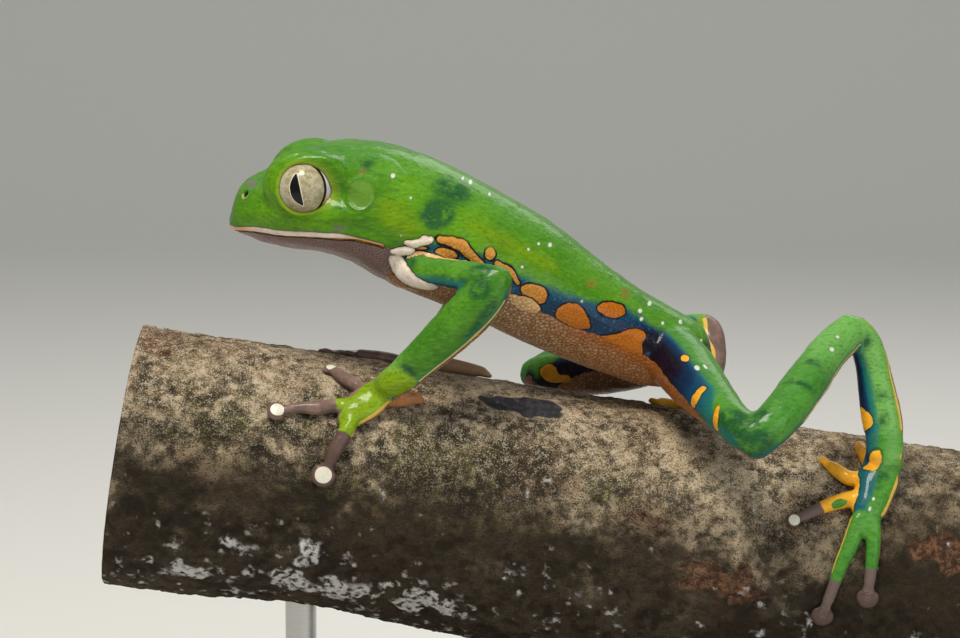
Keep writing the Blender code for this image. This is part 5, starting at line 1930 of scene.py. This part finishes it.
def bark_material() -> bpy.types.Material:
    """Dry bark: a tan-grey lichen crust of fine grains, with moss, rusty wood and chalky patches, and
    painted shade below, at the right end and in its hollows.
    """
    graph = Graph("lichen_bark", Finish(0.9, specular=0.2))
    layered, rise, scaled, swells = graph.layered, graph.rise, graph.scaled, graph.swells
    broad, patchy, grains = swells(11.0, 3.0), swells(2.6, 4.0, 3.0), swells(0.95, 5.0, 5.0)
    dust = scaled(swells(1.1, 4.0, 7.0), 0.6, scaled(swells(0.24, 3.0, 9.0), 1.0, -0.3))
    # Painted shade, partly the bark's own darkening: deeper towards the underside and the right end, in
    # uneven patches
    shaded = scaled(broad, 0.9, scaled(patchy, 0.7, scaled("under", 1.0, -0.8)))
    chalk = graph.product(rise("chalk", -0.2, 0.7), rise(grains, 0.38, 0.56))
    whole = graph.product(rise("scar", -0.1, -0.4), scaled(chalk, -0.6, 1.0))
    coarse = rise(grains, 0.4, 0.6)
    crust = layered(
        "#c8b594",
        ("#927d60", rise(broad, 0.35, 0.65)),
        ("#5f5239", rise(patchy, 0.5, 0.66), 0.75),
        ("#9c7a5c", rise(patchy, 0.44, 0.3), 0.45),
        (layered("#2c2618", ("#5a5828", rise(grains, 0.4, 0.62))), rise("moss", -3.0, 3.5), 0.85),
        # Painted shade on the lower half and right end, over the bark's own darker colour
        ("#2e251b", rise(shaded, 0.06, 0.62), 0.9),
        # Painted shade in the hollows of the bark
        ("#241e15", rise("hollow", 0.0, 0.25), 0.75),
        (layered("#55382a", ("#93694c", coarse)), rise("rust", -0.8, 1.0), 0.6),
        (layered("#333337", ("#48464a", coarse)), rise("scar", -0.25, 0.0)),
        ("#e2e0dc", chalk, 0.92),
        ("#2a2218", rise(dust, 0.5, 0.64), whole, scaled(grains, 0.5, 0.5)),
        ("#ddd0b8", rise(dust, 0.47, 0.37), rise("under", 0.5, 0.08), whole, 0.6),
    )

    # The sawn ends: pale rings, and a dark line at the bark
    rings = graph.add("Math", graph.product(scaled(broad, 3.0, "radial"), 5.2), operation="SINE")
    wood = layered(
        "#b48a5c",
        ("#80592f", rise(rings, -0.6, 0.9)),
        ("#6a4b2c", rise(patchy, 0.5, 0.65), 0.4),
        ("#3d2c1d", rise("radial", 18.6, 19.0)),
        ("#5c4226", rise(dust, 0.55, 0.65), 0.4),
    )
    colour = layered(crust, (wood, rise("cut", 0.4, 0.6)))
    return graph.finished(colour, scaled(dust, -0.7, grains), 0.8)


BASE = (132.0, 66.0, 8.0, 8.0, 1.0)
ROD_RADIUS = 2.5
ROD_PLACES = {"stand_rod_front": -40.0, "stand_rod_rear": 40.0}
ROD_SEAT = 1.2
FOOT_OF_ROD = 8.3


def hard_edged(name: str, surface: Surface) -> bpy.types.Object:
    """An object with flat faces that stay crisp beside its rounded edges."""
    mesh = oriented(surface).mesh(name, MM)
    mesh.set_sharp_from_angle(angle=math.radians(32))
    return placed(name, mesh)


def base_piece() -> bpy.types.Object:
    """The flat base with round corners and an eased top edge."""
    length, width, height, corner, ease = BASE
    turns = np.concatenate([np.radians(np.linspace(q, q + 90, 24)) for q in (0, 90, 180, 270)])
    middle = np.repeat([[1, 1], [-1, 1], [-1, -1], [1, -1]], 24, axis=0)
    levels = [(0.0, 0.3), (0.3, 0.0), (height - ease, 0.0)]
    levels += [
        (height - ease + ease * math.sin(t), ease * (1 - math.cos(t))) for t in np.radians((22, 45, 68, 90))
    ]
    rings = []
    for z, inset in levels:
        across = corner - inset
        x = middle[:, 0] * (length / 2 - corner) + across * np.cos(turns)
        y = middle[:, 1] * (width / 2 - corner) + across * np.sin(turns)
        rings.append(np.stack([x, y, np.full(len(x), z)], axis=1))
    return hard_edged("base_slab", lofted(np.array(rings), np.zeros(3), np.array([0.0, 0.0, height])))


def rod_piece(name: str, x: float) -> bpy.types.Object:
    """One upright rod from the base into the underside of the branch."""
    slope = PERCH.slope
    top = PERCH.height - math.tan(slope) * x - PERCH.radius / math.cos(slope) + ROD_SEAT
    turn = np.linspace(0.0, 2 * math.pi, 72, endpoint=False)
    rings = [
        np.stack([x + r * np.cos(turn), r * np.sin(turn), np.full(72, z)], axis=1)
        for z, r in (
            (FOOT_OF_ROD, ROD_RADIUS - 0.15),
            (FOOT_OF_ROD + 0.15, ROD_RADIUS),
            (top - 0.15, ROD_RADIUS),
            (top, ROD_RADIUS - 0.15),
        )
    ]
    ends = np.array([x, 0.0, FOOT_OF_ROD]), np.array([x, 0.0, top])
    return hard_edged(name.replace("stand_", "steel_"), lofted(np.array(rings), *ends))


def oak_material() -> bpy.types.Material:
    """Dark stained oak under satin lacquer, with its grain along the base."""
    graph = Graph("stained_oak", Finish(0.42, 0.35, 0.22))
    drawn = graph.add("Mapping", Vector=graph.place, Scale=(0.06, 1.0, 0.5))
    grain, pores = graph.swells(1.6, 4.0, place=drawn), graph.swells(0.35, 2.0, 4.0, drawn)
    dark = ("#2c1a0e", graph.rise(grain, 0.35, 0.65))
    colour = graph.layered("#4a2f1a", dark, ("#160d07", graph.rise(pores, 0.56, 0.68), 0.7))
    return graph.finished(colour, pores, 0.06, 0.6)


def steel_material() -> bpy.types.Material:
    """Brushed steel: fine marks round the rod spread the highlight."""
    graph = Graph("brushed_steel", Finish(0.32, metallic=1.0))
    drawn = graph.add("Mapping", Vector=graph.place, Scale=(0.2, 0.2, 6.0))
    marks = graph.swells(1.0, 3.0, place=drawn)
    graph.join(graph.shader["Roughness"], graph.scaled(marks, 0.2, 0.22))
    return graph.finished(graph.layered("#a9a9a6", ("#c6c6c3", marks)))


def look() -> None:
    """The camera, lights and floor."""
    camera = placed("camera", bpy.data.cameras.new("camera"))
    camera.data.lens = 128.9
    camera.data.clip_end = 20.0
    camera.location = Vector((-11.0, -544.6, 161.5)) * MM
    camera.rotation_euler = (math.radians(82.0), 0.0, 0.0)
    scene = bpy.context.scene
    scene.camera = camera
    scene.view_settings.view_transform = "Standard"
    for name, place, size, power, tint in (
        ("key", (-120, -260, 700), 220, 4.8, "#fff8ee"),
        ("fill", (420, -500, 260), 400, 1.1, "#eef3ff"),
        ("rim", (160, 420, 420), 240, 0.5, "#ffffff"),
    ):
        light = placed(name, bpy.data.lights.new(name, "AREA"))
        light.data.size = size * MM
        light.data.energy = power
        light.data.color = linear(tint)[:3]
        light.location = Vector(place) * MM
        aim = Vector((-5.0, 0.0, 80.0)) * MM - light.location
        light.rotation_euler = aim.to_track_quat("-Z", "Y").to_euler()
    scene.world = bpy.data.worlds.new("studio")
    scene.world.use_nodes = True
    sky = scene.world.node_tree.nodes["Background"].inputs
    sky["Color"].default_value = linear("#e9eef0")
    sky["Strength"].default_value = 0.34
    floor = placed("floor", cyclorama())
    floor.data.materials.append(Graph("pale_floor", Finish(0.8)).finished("#e4e3de"))


def cyclorama(
    near: float = -0.9, bend: float = 0.8, height: float = 1.6, half: float = 2.4
) -> bpy.types.Mesh:
    """A pale sweep: level under the part and curved up behind it, in metres."""
    radius = 0.5
    turns = np.linspace(0, math.pi / 2, 24)[1:]
    profile = [(near, 0.0), (bend, 0.0)]
    profile += [(bend + radius * math.sin(t), radius * (1 - math.cos(t))) for t in turns]
    profile.append((bend + radius, height))
    points = [(x, y, z) for y, z in profile for x in (-half, half)]
    faces = [(2 * i, 2 * i + 1, 2 * i + 3, 2 * i + 2) for i in range(len(profile) - 1)]
    mesh = bpy.data.meshes.new("floor")
    mesh.from_pydata(points, [], faces)
    mesh.shade_smooth()
    return mesh


def main() -> None:
    """Builds every piece, the studio and the camera."""
    skin = Skin()
    skin.open_eyes()
    fields = Painter(skin).fields
    Carver(skin, fields)
    tints(skin, fields)
    made = placed("skin", skin.surface.mesh("skin", MM, skin.marks))
    settle(made, skin_material(), "frog_skin", *FLESH)
    eye = eye_material()
    for side in Side:
        settle(eye_piece(side), eye, "eye", f"eye_{side.word}")
    grip = np.isin(skin.kind, (Kind.PALM.value, Kind.DIGIT.value, Kind.DISC.value))
    settle(Log(skin.points[grip][::3]).piece(), bark_material(), "bark", "branch")
    settle(base_piece(), oak_material(), "base_wood", "stand_base")
    steel = steel_material()
    for name, x in ROD_PLACES.items():
        settle(rod_piece(name, x), steel, "rod_steel", name)
    look()


if __name__ == "__main__":
    main()
